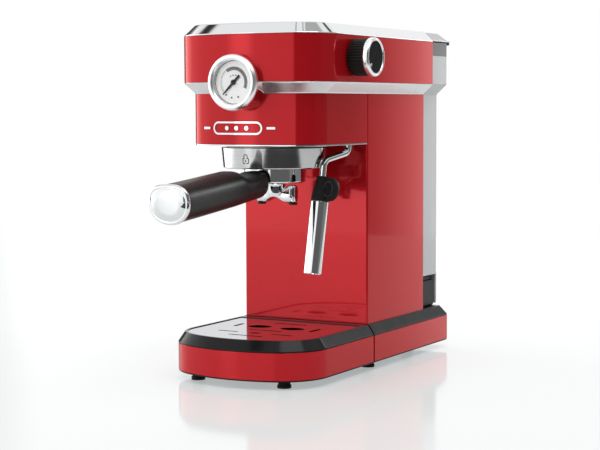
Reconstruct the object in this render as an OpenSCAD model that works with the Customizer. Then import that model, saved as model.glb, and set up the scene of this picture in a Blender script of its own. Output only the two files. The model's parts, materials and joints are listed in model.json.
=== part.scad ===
// Slim pump espresso machine with a gauge, a steam wand, a lift-out water tank
// at the back and a pull-out drip tray in front.
// Origin: on the floor, on the machine's middle plane, half way along the base.
// X runs to the user's right, Y to the back, Z up.

/* [Overall] */
// Height of the machine without its tank lid's lip
total_h = 307; // [300:1:320]
// Width of the base
base_w = 142.5; // [136:0.5:146]
// Depth of the base, drip tray and rear base together
base_d = 298.5; // [290:0.5:310]
// Width of the column and of the lower head
body_w = 128; // [124:1:132]
// How far the upper head stands out all round
head_step = 9.5; // [7:0.5:11]

/* [Levels] */
// Height of the feet
foot_h = 6.8; // [6:0.1:7.4]
// Underside of the base's coloured band
band_low_z = 8; // [7.6:0.1:9]
// Top of the base's coloured band
base_band_z = 31.7; // [28:0.1:33]
// Top of the base and foot of the column
deck_z = 41; // [39:0.5:43]
// Underside of the head
head_z = 204; // [204:0.5:208]
// Underside of the bright belt round the head
belt_z = 247.2; // [244:0.1:252]
// Height of the belt and of the top frame's slope
slope_h = 9.8; // [8:0.1:11]

/* [Body] */
// Front face of the column, measured from the origin
column_y = -11.5; // [-16:0.5:-8]
// Rear end of the body's side panels
body_rear_y = 106; // [100:1:110]
// Thickness of the lacquered sheet
sheet_t = 1.2; // [0.8:0.1:1.5]
// Gap between the drip tray and the rear base
tray_gap = 2.4; // [1.5:0.1:3]

/* [Gauge] */
// Height of the gauge's centre
gauge_z = 256.6; // [250:0.1:262]
// Radius of the gauge's bezel
gauge_r = 24; // [22:0.5:26]
// Front face of the gauge, measured from the origin
gauge_y = -138; // [-141:0.5:-136]

/* [Steam knob] */
// Distance of the knob's axis from the origin along Y
knob_y = -56; // [-62:1:-50]
// Height of the knob's axis
knob_z = 278; // [274:1:281]
// Radius of the knob's bright ring
knob_r = 16.6; // [15:0.1:17.5]
// How far the knob stands out of the panel
knob_len = 22; // [20:1:26]

/* [Group] */
// Distance of the group's axis from the origin along Y
group_y = -65.5; // [-70:0.5:-62]
// Radius of the brew collar at its top
collar_r = 46.8; // [44:0.1:47]
// Radius of the filter holder's bowl
bowl_r = 26.8; // [25.5:0.1:27.5]
// Length of the filter holder's handle
handle_len = 138; // [115:1:145]
// Downward tilt of the handle
handle_tilt = 4.3; // [3:0.1:7]

/* [Steam wand] */
// Place of the wand's swivel across the head
wand_x = 56; // [50:1:57]
// Place of the wand's swivel along the head
wand_y = -33.5; // [-38:0.5:-30]
// Resting swing of the wand, from straight ahead
wand_swing = -12.5; // [-20:0.5:0]
// Lean of the wand's lower part
wand_lean = 9; // [6:0.2:12]
// Radius of the wand's bright sleeve
sleeve_r = 7.8; // [7:0.1:8.5]

/* [Tank] */
// Rear face of the tank
tank_rear_y = 148.5; // [144:0.5:150]
// Wall of the tank
tank_wall = 2.2; // [1.8:0.1:2.6]

/* [Hidden] */
$fn = 48;
head_w = body_w + 2 * head_step;
base_front_y = -base_d / 2;
base_rear_y = base_d / 2;
belt_top_z = belt_z + slope_h;
frame_z = total_h - slope_h;
tray_rear_y = column_y - 0.9 - tray_gap / 2;
rear_base_y = tray_rear_y + tray_gap;
base_slope = 6;
// A bowed outline is [width, front y, bow radius, corner radius].
base_bow = [base_w, base_front_y, 119, 44];
head_bow = [head_w, column_y - 117, 150, 36];
low_bow = inset(head_bow, head_step);

// ---- outlines ----

function inset(o, t) = [o[0] - 2 * t, o[1] + t, o[2] - t, o[3] - t];
function bow_cy(o) = o[1] + o[2];
function corner_x(o) = o[0] / 2 - o[3];
function corner_cy(o) = bow_cy(o) - sqrt(pow(o[2] - o[3], 2) - pow(corner_x(o), 2));
function turn(o) = asin(corner_x(o) / (o[2] - o[3]));
// right half, from the front's middle round the corner to the rear end
function bow_half(o, rear) = concat(
  [for (i = [0:6]) let (a = turn(o) * i / 6) [o[2] * sin(a), bow_cy(o) - o[2] * cos(a)]],
  [for (i = [1:10]) let (a = turn(o) + (90 - turn(o)) * i / 10)
    [corner_x(o) + o[3] * sin(a), corner_cy(o) - o[3] * cos(a)]],
  [[o[0] / 2, rear]]
);
function flip(points) = [for (i = [len(points) - 1:-1:0]) [-points[i][0], points[i][1]]];
function bow_outline(o, rear) = let (half = bow_half(o, rear))
  concat(flip([for (p = half) if (p[0] > 0) p]), half);
// a rectangle whose rear corners are round
function rear_outline(w, front, rear, r) = concat(
  [[-w / 2, front], [w / 2, front]],
  [for (i = [0:4]) let (a = 22.5 * i) [w / 2 - r + r * cos(a), rear - r + r * sin(a)]],
  [for (i = [0:4]) let (a = 90 + 22.5 * i) [-w / 2 + r + r * cos(a), rear - r + r * sin(a)]]
);

module plate(points, z0, z1) translate([0, 0, z0]) linear_extrude(z1 - z0) polygon(points);
module bow_plate(o, t, rear, z0, z1) plate(bow_outline(inset(o, t), rear), z0, z1);
module bow_band(o, t_out, t_in, rear, z0, z1) difference() {
  bow_plate(o, t_out, rear, z0, z1);
  bow_plate(o, t_in, rear + 1, z0 - 1, z1 + 1);
}
module bow_slope(o, t0, t1, rear0, rear1, z0, z1) hull() {
  bow_plate(o, t0, rear0, z0, z0 + 0.01);
  bow_plate(o, t1, rear1, z1 - 0.01, z1);
}
module box(x0, x1, y0, y1, z0, z1) translate([x0, y0, z0]) cube([x1 - x0, y1 - y0, z1 - z0]);
module rod_x(r, x0, x1) translate([x0, 0, 0]) rotate([0, 90, 0]) cylinder(r = r, h = x1 - x0);
module rod_y(r, y0, y1) translate([0, y0, 0]) rotate([-90, 0, 0]) cylinder(r = r, h = y1 - y0);
module rod_z(r, z0, z1) translate([0, 0, z0]) cylinder(r = r, h = z1 - z0);
module both_sides() for (s = [0, 1]) mirror([s, 0, 0]) children();

// ---- base ----

pan_t = 3;
rear_corner_r = 3.5;
rear_slope = 5;
deck_wall = 3;
seat_x = 58;
seat_top_z = 71;
seat_rear_y = 144;
spigot_y = 126;
gland_x = -40;
gland_z = 21;

module base_pan() color("dimgray") difference() {
  plate(rear_outline(base_w - 2 * sheet_t - 2 * deck_wall - 0.4, rear_base_y + deck_wall + 0.2,
    base_rear_y - sheet_t - deck_wall - 0.2, 3), foot_h, foot_h + pan_t);
  for (x = [-40:10:40]) box(x - 1.5, x + 1.5, 60, 100, foot_h - 1, foot_h + pan_t + 1);
}
module base_skin() color("firebrick") difference() {
  plate(rear_outline(base_w, rear_base_y, base_rear_y, rear_corner_r), band_low_z, base_band_z);
  plate(rear_outline(base_w - 2 * sheet_t, rear_base_y - 1, base_rear_y - sheet_t,
    rear_corner_r - sheet_t), band_low_z - 1, base_band_z + 1);
  gland_hole();
}
module gland_hole() translate([gland_x, 0, gland_z]) rod_y(5, base_rear_y - 20, base_rear_y + 5);
module base_deck() color([0.08, 0.08, 0.09]) difference() {
  union() {
    plate(rear_outline(base_w - 2 * sheet_t, rear_base_y, base_rear_y - sheet_t,
      rear_corner_r - sheet_t), band_low_z, base_band_z);
    // the lip the coloured band stands on
    plate(rear_outline(base_w, rear_base_y, base_rear_y, rear_corner_r), foot_h, band_low_z);
    hull() {
      plate(rear_outline(base_w, rear_base_y, base_rear_y, rear_corner_r), base_band_z, base_band_z + 0.01);
      plate(rear_outline(base_w - 2 * base_slope, rear_base_y, base_rear_y - rear_slope, rear_corner_r),
        deck_z - 0.01, deck_z);
    }
  }
  plate(rear_outline(base_w - 2 * sheet_t - 2 * deck_wall, rear_base_y + deck_wall,
    base_rear_y - sheet_t - deck_wall, 3), foot_h - 1, deck_z - 6);
  gland_hole();
}
foot_r = 6;
// each pair of feet under the base: distance from the middle plane and place along Y
base_foot_at = [[56.5, 4], [44, 112]];
tray_foot_x = 43.2;
tray_foot_y = -124.7;
module foot(x, y) translate([x, y, 0]) {
  rod_z(foot_r, 0, 2.5);
  rod_z(foot_r - 0.8, 2.5, foot_h);
}
module base_feet() color("black") both_sides() for (at = base_foot_at) foot(at[0], at[1]);
module cord_gland() color("black") translate([gland_x, 0, gland_z]) difference() {
  union() {
    rod_y(4.95, base_rear_y - 9, base_rear_y);
    rod_y(7.5, base_rear_y, base_rear_y + 3);
    rod_y(5.5, base_rear_y + 3, base_rear_y + 6);
  }
  rod_y(3.6, base_rear_y - 10, base_rear_y + 7);
}

// ---- drip tray ----

tray_rim = 8.3;
tray_ledge = 3;
tray_rim_rear = 8;
plate_z = 39.2;
plate_t = 1.2;
plate_play = 0.3;

module tray_tub() color([0.08, 0.08, 0.09]) difference() {
  union() {
    bow_plate(base_bow, sheet_t, tray_rear_y, band_low_z, base_band_z);
    // the lip the coloured band stands on
    bow_plate(base_bow, 0, tray_rear_y, foot_h, band_low_z);
    bow_slope(base_bow, 0, base_slope, tray_rear_y, tray_rear_y, base_band_z, deck_z);
  }
  bow_plate(base_bow, tray_rim + tray_ledge, tray_rear_y - tray_rim_rear - tray_ledge,
    foot_h + pan_t, deck_z + 1);
  bow_plate(base_bow, tray_rim, tray_rear_y - tray_rim_rear, plate_z, deck_z + 1);
}
module tray_skin() color("firebrick") bow_band(base_bow, 0, sheet_t, tray_rear_y, band_low_z, base_band_z);
module tray_feet() color("black") both_sides() foot(tray_foot_x, tray_foot_y);

// a slot with round ends, from one x to another
module long_slot(x0, x1, y, half_w) {
  box(x0, x1, y - half_w, y + half_w, plate_z - 1, plate_z + plate_t + 1);
  for (x = [x0, x1]) translate([x, y, 0]) rod_z(half_w, plate_z - 1, plate_z + plate_t + 1);
}
// a leaf-shaped drain below each spout: two arcs that meet in points
leaf_len = 23;
leaf_w = 15;
leaf_turn = 9;
leaf_x = 16.8;
leaf_y = -64.5;
leaf_r = (leaf_len * leaf_len / 4 + leaf_w * leaf_w / 4) / leaf_w;
module leaf() intersection_for (s = [-1, 1]) translate([0, s * (leaf_r - leaf_w / 2), 0])
  cylinder(r = leaf_r, h = plate_t + 2, $fn = 96);
slot_half_w = 1.5;
wide_slot_y = [-39.5, -83.5, -117];
wide_slot_half = 15.5;
dot_y = -100.5;
dot_half = 2.5;
dot_half_w = 2.4;
front_slot_x = [18.5, 36];
front_slot_y = -101;
edge_slot_at = [39, -64];
edge_slot_half = 7;
edge_slot_half_w = 1.8;
edge_slot_turn = 87;
module drip_plate() color("silver") difference() {
  bow_plate(base_bow, tray_rim + plate_play, tray_rear_y - tray_rim_rear - plate_play,
    plate_z, plate_z + plate_t);
  for (y = wide_slot_y) long_slot(-wide_slot_half, wide_slot_half, y, slot_half_w);
  long_slot(-dot_half, dot_half, dot_y, dot_half_w);
  for (x = [-leaf_x, leaf_x]) translate([x, leaf_y, plate_z - 1]) rotate([0, 0, leaf_turn]) leaf();
  both_sides() {
    long_slot(front_slot_x[0], front_slot_x[1], front_slot_y, slot_half_w);
    translate([edge_slot_at[0], edge_slot_at[1], 0]) rotate([0, 0, edge_slot_turn])
      long_slot(-edge_slot_half, edge_slot_half, 0, edge_slot_half_w);
  }
}

// ---- column ----

frame_t = 2;
column_in = body_w / 2 - sheet_t;
trim_h = 1.5;

module front_panel() color("firebrick")
  box(-column_in, column_in, column_y, column_y + sheet_t, deck_z, head_z - trim_h);
module side_panel() box(column_in, body_w / 2, column_y, body_rear_y, deck_z, belt_z);
module side_panel_right() color("firebrick") side_panel();
module side_panel_left() color("firebrick") mirror([1, 0, 0]) side_panel();
cover_t = 2.5;
module column_frame() color("gray") difference() {
  box(-column_in, column_in, column_y + sheet_t, body_rear_y - cover_t, deck_z, head_z - trim_h);
  box(-column_in + frame_t, column_in - frame_t, column_y + sheet_t + frame_t,
    body_rear_y - cover_t - frame_t, deck_z + frame_t, head_z);
}
cover_top_x = body_w / 2 - 3;
cover_step = 1.5;
module rear_cover() color([0.1, 0.1, 0.1]) union() {
  box(-column_in, column_in, body_rear_y - cover_t, body_rear_y, deck_z, belt_z);
  // a raised border that hides the gap in front of the tank
  box(-cover_top_x, cover_top_x, body_rear_y, body_rear_y + cover_step, seat_top_z + 1, belt_z - 1);
  box(-cover_top_x, cover_top_x, body_rear_y - cover_t, body_rear_y, belt_z, frame_z);
}

// ---- head ----

head_wall_in = 12;
floor_t = 3;
wand_hole_r = 5;
group_flange_r = 42;

module at_group() translate([0, group_y, 0]) children();
module at_gauge() translate([0, 0, gauge_z]) children();
module at_knob() translate([0, knob_y, knob_z]) children();
gauge_body_r = 21;
module gauge_hole() at_gauge() rod_y(gauge_body_r, gauge_y - 5, gauge_y + 45);

module head_trim() color("silver") bow_band(low_bow, 0.3, 3, column_y, head_z - trim_h, head_z);
module head_floor() color([0.1, 0.1, 0.1]) difference() {
  union() {
    bow_plate(low_bow, 3, column_y, head_z - trim_h, head_z);
    bow_plate(low_bow, 1.5, column_y, head_z, head_z + floor_t);
  }
  at_group() rod_z(group_flange_r + 0.2, head_z - 5, head_z + floor_t + 1);
  translate([wand_x, wand_y, 0]) rod_z(wand_hole_r + 0.1, head_z - 5, head_z + floor_t + 1);
}
module lower_head_band() color("firebrick") difference() {
  bow_band(low_bow, 0, sheet_t, column_y, head_z, belt_z);
  gauge_hole();
}
// a plain ornament bent to the head's front: a long oval with three studs between two bars
badge_z = 218;
badge_t = 0.8;
badge_half = 25;
badge_half_h = 5.6;
badge_line = 1.5;
badge_x = -6;
stud_gap = 10;
stud_r = 1.9;
bar_from = badge_half + 4;
bar_to = badge_half + 11.5;
bar_half_h = 1;
module stadium(half, r) hull() both_sides() translate([half - r, 0, 0])
  rod_y(r, low_bow[1] - 5, low_bow[1] + 28);
module badge() color("silver") intersection() {
  bow_band(low_bow, -badge_t, 0, column_y, head_z, belt_z);
  translate([badge_x, 0, badge_z]) union() {
    difference() {
      stadium(badge_half, badge_half_h);
      stadium(badge_half - badge_line, badge_half_h - badge_line);
    }
    for (x = [-stud_gap, 0, stud_gap]) translate([x, 0, 0])
      rod_y(stud_r, low_bow[1] - 5, low_bow[1] + 25);
    both_sides() box(bar_from, bar_to, low_bow[1] - 5, low_bow[1] + 30, -bar_half_h, bar_half_h);
  }
}
module belt_strip() color("silver") difference() {
  bow_slope(head_bow, head_step, 0, body_rear_y, body_rear_y, belt_z, belt_top_z);
  bow_plate(head_bow, head_wall_in, body_rear_y + 1, belt_z - 1, belt_top_z + 1);
  gauge_hole();
}
module upper_head_band() color("firebrick") difference() {
  bow_band(head_bow, 0, sheet_t, body_rear_y, belt_top_z, frame_z);
  gauge_hole();
  at_knob() rod_x(6, head_w / 2 - 5, head_w / 2 + 5);
}
module head_frame() color("gray") difference() {
  bow_band(head_bow, head_wall_in, head_wall_in + frame_t, body_rear_y - cover_t,
    head_z + floor_t, frame_z);
  gauge_hole();
  at_knob() rod_x(valve_neck_r + 0.1, head_w / 2 - 18, head_w / 2);
  translate([wand_x, wand_y, 0]) rod_z(wand_hole_r + 0.1, head_z, pipe_top_z + 4);
}
top_in = 12;
top_rear_bar = 6;
panel_split_y = -84;
module top_frame() color("silver") difference() {
  bow_slope(head_bow, 0, head_step, body_rear_y, body_rear_y, frame_z, total_h);
  bow_plate(head_bow, top_in, body_rear_y - top_rear_bar, frame_z + 3, total_h + 1);
  bow_plate(head_bow, top_in + 4, body_rear_y - top_rear_bar - 4, frame_z - 1, frame_z + 4);
}
top_plate_z = frame_z + 3;
top_plate_t = 3.5;
module button_panel() color([0.06, 0.06, 0.07]) difference() {
  bow_plate(head_bow, top_in + 0.2, panel_split_y, top_plate_z, top_plate_z + top_plate_t);
  for (x = button_x) translate([x, button_y, 0]) rod_z(button_r + 0.3, top_plate_z - 1, total_h);
}
module cup_plate() color("silver") difference() {
  box(-head_w / 2 + top_in + 0.2, head_w / 2 - top_in - 0.2, panel_split_y + 0.4,
    body_rear_y - top_rear_bar - 0.2, top_plate_z, top_plate_z + top_plate_t);
  for (x = [-48:12:48]) for (y = [-60:30:60])
    translate([x, y, 0]) rod_z(2, top_plate_z - 1, total_h);
}
button_r = 8;
button_x = [-26, 0, 26];
button_y = -101;
button_travel = 2;
module button(i) color("silver") translate([button_x[i], button_y, 0]) union() {
  rod_z(button_r, top_plate_z + 1, top_plate_z + top_plate_t + 1.5);
  rod_z(3, top_plate_z - 6, top_plate_z + 1);
}
module button_1() button(0);
module button_2() button(1);
module button_3() button(2);

// ---- gauge ----

dial_y = gauge_y + 5.5;
dial_r = 19;
pivot_r = 0.8;

module gauge_housing() color("silver") at_gauge() difference() {
  union() {
    rod_y(gauge_body_r - 0.1, dial_y + 1.2, dial_y + 32);
    rod_y(gauge_r - 1, dial_y + 1.2, dial_y + 3.2);
  }
  rod_y(gauge_body_r - 2, dial_y + 3, dial_y + 30);
  rod_y(pivot_r + 0.05, dial_y, dial_y + 4);
}
module gauge_bezel() color("silver") at_gauge() rotate([90, 0, 0]) rotate_extrude($fn = 96)
  translate([0, -dial_y - 1.2]) polygon([[dial_r + 0.4, 0], [gauge_r - 0.6, 0], [gauge_r, 1.5],
    [gauge_r, 3.5], [gauge_r - 1, 5.4], [gauge_r - 2.5, 6.7], [dial_r + 1.2, 6.7],
    [dial_r - 0.6, 5.6], [dial_r - 0.6, 4.6], [dial_r + 0.4, 4.6]]);
module gauge_dial() color("white") at_gauge() difference() {
  rod_y(dial_r + 0.3, dial_y, dial_y + 1.2);
  rod_y(pivot_r + 0.05, dial_y - 1, dial_y + 2);
}
needle_angle = 226;
module gauge_needle() color("black") at_gauge() union() {
  rod_y(pivot_r, dial_y - 1.6, dial_y + 2.6);
  rod_y(2.2, dial_y - 1.6, dial_y - 0.4);
  rotate([0, needle_angle, 0]) translate([0, dial_y - 0.5, 0]) rotate([90, 0, 0])
    linear_extrude(0.7) polygon(
      [[-1.1, -8], [1.1, -8], [0.9, 4], [0.25, 14.8], [-0.25, 14.8], [-0.9, 4]]);
}
module gauge_lens() color([0.8, 0.9, 1, 0.3]) at_gauge()
  rod_y(dial_r + 0.3, dial_y - 3.35, dial_y - 2.3);

// ---- steam knob ----

knob_x = head_w / 2 + 0.8;
ring_x = head_w / 2 + knob_len - 5.5;
knob_end = head_w / 2 + knob_len;
spindle_r = 3;
valve_neck_r = 5.5;
rib_count = 40;
knob_face_r = 13.6;
rib_in = 15.1;
rib_out = 15.9;
// a ribbed outline: flat-topped ribs with sloping flanks
module ribbed() polygon([for (i = [0:rib_count - 1]) for (p = [[-3.4, rib_in], [-2, rib_out],
  [2, rib_out], [3.4, rib_in]]) let (a = 360 / rib_count * i + p[0]) p[1] * [cos(a), sin(a)]]);
module knob_body() color([0.07, 0.07, 0.07]) at_knob() difference() {
  translate([knob_x, 0, 0]) rotate([0, 90, 0]) linear_extrude(ring_x - knob_x) ribbed();
  rod_x(spindle_r, knob_x - 1, knob_x + 12);
}
module knob_ring() color("silver") at_knob() difference() {
  rod_x(knob_r, ring_x, knob_end);
  rod_x(knob_face_r, ring_x - 1, knob_end + 1);
}
module knob_face() color([0.12, 0.12, 0.12]) at_knob() rod_x(knob_face_r, ring_x, knob_end - 1);
module knob_spindle() color("gray") at_knob() rod_x(spindle_r, head_w / 2 - 24, knob_x + 12);
module steam_valve() color("goldenrod") at_knob() difference() {
  union() {
    rod_x(8, head_w / 2 - 30, head_w / 2 - head_wall_in - frame_t);
    rod_x(valve_neck_r, head_w / 2 - head_wall_in - frame_t, head_w / 2 - sheet_t);
    rotate([180, 0, 0]) translate([head_w / 2 - 24, 0, 0]) rod_z(4, 0, 22);
  }
  rod_x(spindle_r + 0.05, head_w / 2 - 24, head_w / 2);
}

// ---- group ----

collar_z = 182.6;
collar_top_z = 201;
collar_floor_z = 186.2;
socket_r = 34;
lip_r = 30;
lug_z = 186.5;
rim_z = 191;

module wedge(a, half, r, z0, z1) rotate([0, 0, a]) plate(
  [[0, 0], [r, -r * tan(half)], [r, r * tan(half)]], z0, z1);
module group_collar() color("silver") at_group() difference() {
  translate([0, 0, collar_z])
    cylinder(r1 = collar_r - 1.7, r2 = collar_r, h = collar_top_z - collar_z, $fn = 96);
  rod_z(socket_r, collar_floor_z, collar_top_z + 1);
  rod_z(lip_r, collar_z - 1, collar_floor_z + 0.1);
  for (a = [-45, 135]) intersection() {
    rod_z(socket_r, collar_z - 1, collar_floor_z + 0.1);
    wedge(a, 28, 60, collar_z - 2, collar_floor_z + 1);
  }
}
module group_head() color("darkgray") at_group() difference() {
  union() {
    rod_z(group_flange_r, collar_top_z, head_z + floor_t);
    rod_z(socket_r - 0.1, 193, collar_top_z);
    rod_z(26, head_z + floor_t, boiler_z);
  }
  difference() {
    rod_z(29.2, 192, 198);
    rod_z(24, 191, 199);
  }
  rod_z(2, 192, boiler_z + 1);
}
module group_gasket() color([0.55, 0.2, 0.12]) at_group() difference() {
  rod_z(29.1, 191.9, 198);
  rod_z(24.1, 191, 199);
}
module shower_screen() color("silver") at_group() difference() {
  rod_z(23.4, 191.6, 193);
  rod_z(2, 190, 194);
  for (r = [7, 12, 17]) for (i = [0:r - 1]) rotate([0, 0, 360 / r * i]) translate([r, 0, 0])
    rod_z(0.8, 190, 194);
}
module shower_screw() color("silver") at_group() union() {
  rod_z(1.95, 191.6, 199);
  rod_z(4, 189.6, 191.6);
}

// ---- filter holder ----

bowl_z = 169.6;
module portafilter_bowl() color("silver") at_group() difference() {
  union() {
    rod_z(bowl_r, bowl_z, lug_z);
    rod_z(28.6, lug_z, rim_z);
    for (a = [0, 180]) intersection() {
      rod_z(33.3, lug_z, 190.4);
      wedge(a, 24, 60, lug_z - 1, 191);
    }
  }
  rod_z(24.6, 172, rim_z + 1);
  rod_z(4, bowl_z - 1, 173);
}
module filter_basket() color("lightgray") at_group() difference() {
  union() {
    rod_z(24.3, 174, rim_z);
    rod_z(28.5, rim_z, 191.8);
  }
  rod_z(23.6, 175, 193);
  for (r = [6, 12, 18]) for (i = [0:r - 1]) rotate([0, 0, 360 / r * i]) translate([r, 0, 0])
    rod_z(0.7, 173, 176);
}
spout_x = 16;
spout_z = 152;
spout_half = 19.5;
spout_shift = 4;
// the bridge's upper and lower edges, across the two outlets
function spout_top(x) = 162.5 + 2.6 * (1 - cos(180 * x / spout_x));
function spout_low(x) = abs(x) < 11 ? spout_z + 2.2 * (1 + cos(180 * x / 11)) : spout_z;
module spout() color("silver") translate([0, group_y + spout_shift, 0]) difference() {
  union() {
    translate([0, 6.5, 0]) rotate([90, 0, 0]) linear_extrude(13) polygon(concat(
      [for (i = [-12:12]) let (x = spout_half * i / 12) [x, spout_top(x)]],
      [for (i = [12:-1:-12]) let (x = spout_half * i / 12) [x, spout_low(x)]]));
    translate([0, -spout_shift, 0]) rod_z(9, 160, bowl_z);
  }
  for (x = [-spout_x, spout_x]) translate([x, 0, 0]) rod_z(2.6, spout_z - 1, spout_z + 8);
}
module spout_tips() color("black") translate([0, group_y + spout_shift, 0]) both_sides()
  translate([spout_x, 0, 0]) difference() {
    rod_z(4, spout_z - 1.8, spout_z);
    rod_z(2.6, spout_z - 3, spout_z + 1);
  }
handle_y = group_y - bowl_r - 2.2;
handle_z = 169.5;
module at_handle() translate([0, handle_y, handle_z]) rotate([handle_tilt, 0, 0]) children();
module handle_neck() color("silver") difference() {
  translate([0, 0, handle_z + 2]) rod_y(7.5, handle_y - 3, group_y - bowl_r + 3);
  at_group() rod_z(bowl_r, bowl_z - 10, rim_z + 10);
  at_handle() box(-20, 20, -20, 0, -20, 20);
}
// one section of the handle: s mm out from its root, with a flatter top than underside
module handle_ring(s, half_w, up, down) translate([0, -s, 0]) rotate([90, 0, 0]) linear_extrude(0.1)
  polygon([for (i = [0:35]) let (a = 10 * i, c = cos(a), s = sin(a), k = s > 0 ? 0.72 : 0.94)
    [half_w * sign(c) * pow(abs(c), k) * (1 + 0.03 * s), (s > 0 ? up : down) * sign(s) * pow(abs(s), k)]]);
module handle_grip() color([0.05, 0.05, 0.05]) at_handle() {
  hull() {
    handle_ring(0, 10, 9.5, 10);
    handle_ring(4, 12.8, 12, 12);
    handle_ring(14, 13.2, 12, 12.4);
  }
  hull() {
    handle_ring(14, 13.2, 12, 12.4);
    handle_ring(30, 14.2, 9.8, 13.1);
  }
  hull() {
    handle_ring(30, 14.2, 9.8, 13.1);
    handle_ring(46, 16, 16.2, 13.8);
  }
  hull() {
    handle_ring(46, 16, 16.2, 13.8);
    handle_ring(handle_len - 4.1, 18.6, 15.2, 15.8);
  }
}
module handle_cap() color("silver") at_handle() hull() {
  handle_ring(handle_len - 4, 19.2, 15.8, 16.3);
  handle_ring(handle_len - 0.1, 18.2, 15, 15.5);
}

// ---- steam wand ----

pipe_r = 3;
grip_top_z = 176;
sleeve_top_z = 154.6;
sleeve_low_z = 92;

module at_wand() translate([wand_x, wand_y, 0]) rotate([0, 0, wand_swing]) children();
// along the leaning part, measured down from where the lean starts
module on_lean(drop) translate(lean_start) rotate([-wand_lean, 0, 0]) translate([0, 0, -drop]) children();
function drop_at(z) = (lean_start[2] - z) / cos(wand_lean);

module wand_nut() color("silver") translate([wand_x, wand_y, 0]) difference() {
  rod_z(wand_hole_r, 202, pipe_top_z + 2);
  rod_z(pipe_r + 0.05, 199, pipe_top_z);
}
// The pipe lies in one plane: down, out along a sloping arm, and down again along the lean.
arm_angle = 79;
bend_in = 6;
bend_out = 7.5;
pipe_top_z = 212;
drop_z = 200.5;
arm_len = 22.5;
// the way the pipe heads at an angle from straight down
function heading(a) = [0, -sin(a), -cos(a)];
function to_centre(a) = [0, -cos(a), sin(a)];
bend_in_c = [0, 0, drop_z] + bend_in * to_centre(0);
arm_start = bend_in_c - bend_in * to_centre(arm_angle);
arm_end = arm_start + arm_len * heading(arm_angle);
bend_out_c = arm_end - bend_out * to_centre(arm_angle);
lean_start = bend_out_c + bend_out * to_centre(wand_lean);
lean_end = lean_start + (lean_start[2] - grip_top_z + 4) / cos(wand_lean) * heading(wand_lean);
bend_steps = 7;
// the pipe's stations below the swivel: a centre and the angle it heads at
pipe_stations = concat(
  [[[0, 0, drop_z + 1], 0]],
  [for (i = [0:bend_steps]) let (a = arm_angle * i / bend_steps) [bend_in_c - bend_in * to_centre(a), a]],
  [for (i = [0:bend_steps]) let (a = arm_angle + (wand_lean - arm_angle) * i / bend_steps)
    [bend_out_c + bend_out * to_centre(a), a]],
  [[lean_end, wand_lean]]
);
pipe_sides = 20;
module tube(stations, r, sides) {
  last = len(stations) - 1;
  points = [for (s = stations) for (i = [0:sides - 1]) let (t = 360 * i / sides)
    s[0] + r * (cos(t) * [1, 0, 0] + sin(t) * to_centre(s[1]))];
  walls = [for (k = [0:last - 1]) for (i = [0:sides - 1]) let (
      j = (i + 1) % sides, p = k * sides, q = p + sides)
    each [[p + i, q + i, q + j], [p + i, q + j, p + j]]];
  ends = [[for (i = [0:sides - 1]) i], [for (i = [sides - 1:-1:0]) last * sides + i]];
  polyhedron(points, concat(walls, ends));
}
module wand_pipe() color("silver") at_wand() union() {
  rod_z(pipe_r, drop_z, pipe_top_z);
  tube(pipe_stations, pipe_r - 0.01, pipe_sides);
}
module wand_grip() color([0.06, 0.06, 0.06]) at_wand() on_lean(drop_at(sleeve_top_z)) difference() {
  union() {
    cylinder(r1 = sleeve_r, r2 = 4.7, h = drop_at(sleeve_top_z) - drop_at(grip_top_z));
    translate([8.5, 0, 10.8]) rod_y(10.6, -2.6, 2.6);
  }
  translate([10, 0, 10.8]) for (s = [-1, 1]) translate([0, s * 2.6, 0]) rod_y(4, -1, 1);
  translate([0, 0, 16]) cylinder(r = pipe_r, h = 8);
}
module wand_sleeve() color("silver") at_wand() on_lean(drop_at(sleeve_low_z)) difference() {
  cylinder(r = sleeve_r, h = drop_at(sleeve_low_z) - drop_at(sleeve_top_z) - 0.3);
  translate([0, 0, -1]) cylinder(r = 6.2, h = 80);
}
module wand_tip() color("silver") at_wand() on_lean(drop_at(sleeve_low_z + 5))
  cylinder(r = 6.15, h = drop_at(sleeve_low_z + 5) - drop_at(sleeve_top_z));

// ---- water tank ----

tank_front_y = body_rear_y + 2;
tank_low_x = 60;
tank_high_x = 70.5;
tank_low_z = seat_top_z + 0.3;
lid_seam_z = 297;
lid_gap = 0.8;

module tank_seat() color([0.1, 0.1, 0.1]) difference() {
  union() {
    box(-seat_x, seat_x, tank_front_y, seat_rear_y, deck_z, seat_top_z - 4);
    box(-seat_x + 3, seat_x - 3, tank_front_y + 1, seat_rear_y - 3, seat_top_z - 4, seat_top_z);
  }
  translate([0, spigot_y, 0]) rod_z(9, seat_top_z - 12, seat_top_z + 1);
}
module tank_outline(x, t, z0, z1)
  plate(rear_outline(2 * (x - t), tank_front_y + t, tank_rear_y - t, 5 - t), z0, z1);
module tank_solid(t, z0, z1) {
  tank_outline(tank_low_x, t, z0, belt_z);
  hull() {
    tank_outline(tank_low_x, t, belt_z, belt_z + 0.01);
    tank_outline(tank_high_x, t, belt_top_z - 0.01, belt_top_z);
  }
  tank_outline(tank_high_x, t, belt_top_z, z1);
}
module tank_body() color([0.85, 0.88, 0.9, 0.5]) difference() {
  union() {
    tank_solid(0, tank_low_z, lid_seam_z);
    // the back wall's skirt, which hides the seat from behind
    box(-tank_low_x, tank_low_x, seat_rear_y + 1, tank_rear_y, deck_z + 1.5, tank_low_z);
  }
  tank_solid(tank_wall, tank_low_z + tank_wall, lid_seam_z + 1);
  translate([0, spigot_y, 0]) rod_z(5, tank_low_z - 1, tank_low_z + 5);
}
module tank_valve() color("dimgray") translate([0, spigot_y, 0]) union() {
  rod_z(4.95, tank_low_z - 6, tank_low_z + tank_wall);
  rod_z(8, tank_low_z + tank_wall, tank_low_z + tank_wall + 5);
}
lid_rear_y = tank_rear_y + 0.5;
lid_lip_x = tank_high_x - 2;
lid_lip_y = lid_rear_y + 7.5;
lid_side_slope = 6;
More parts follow.
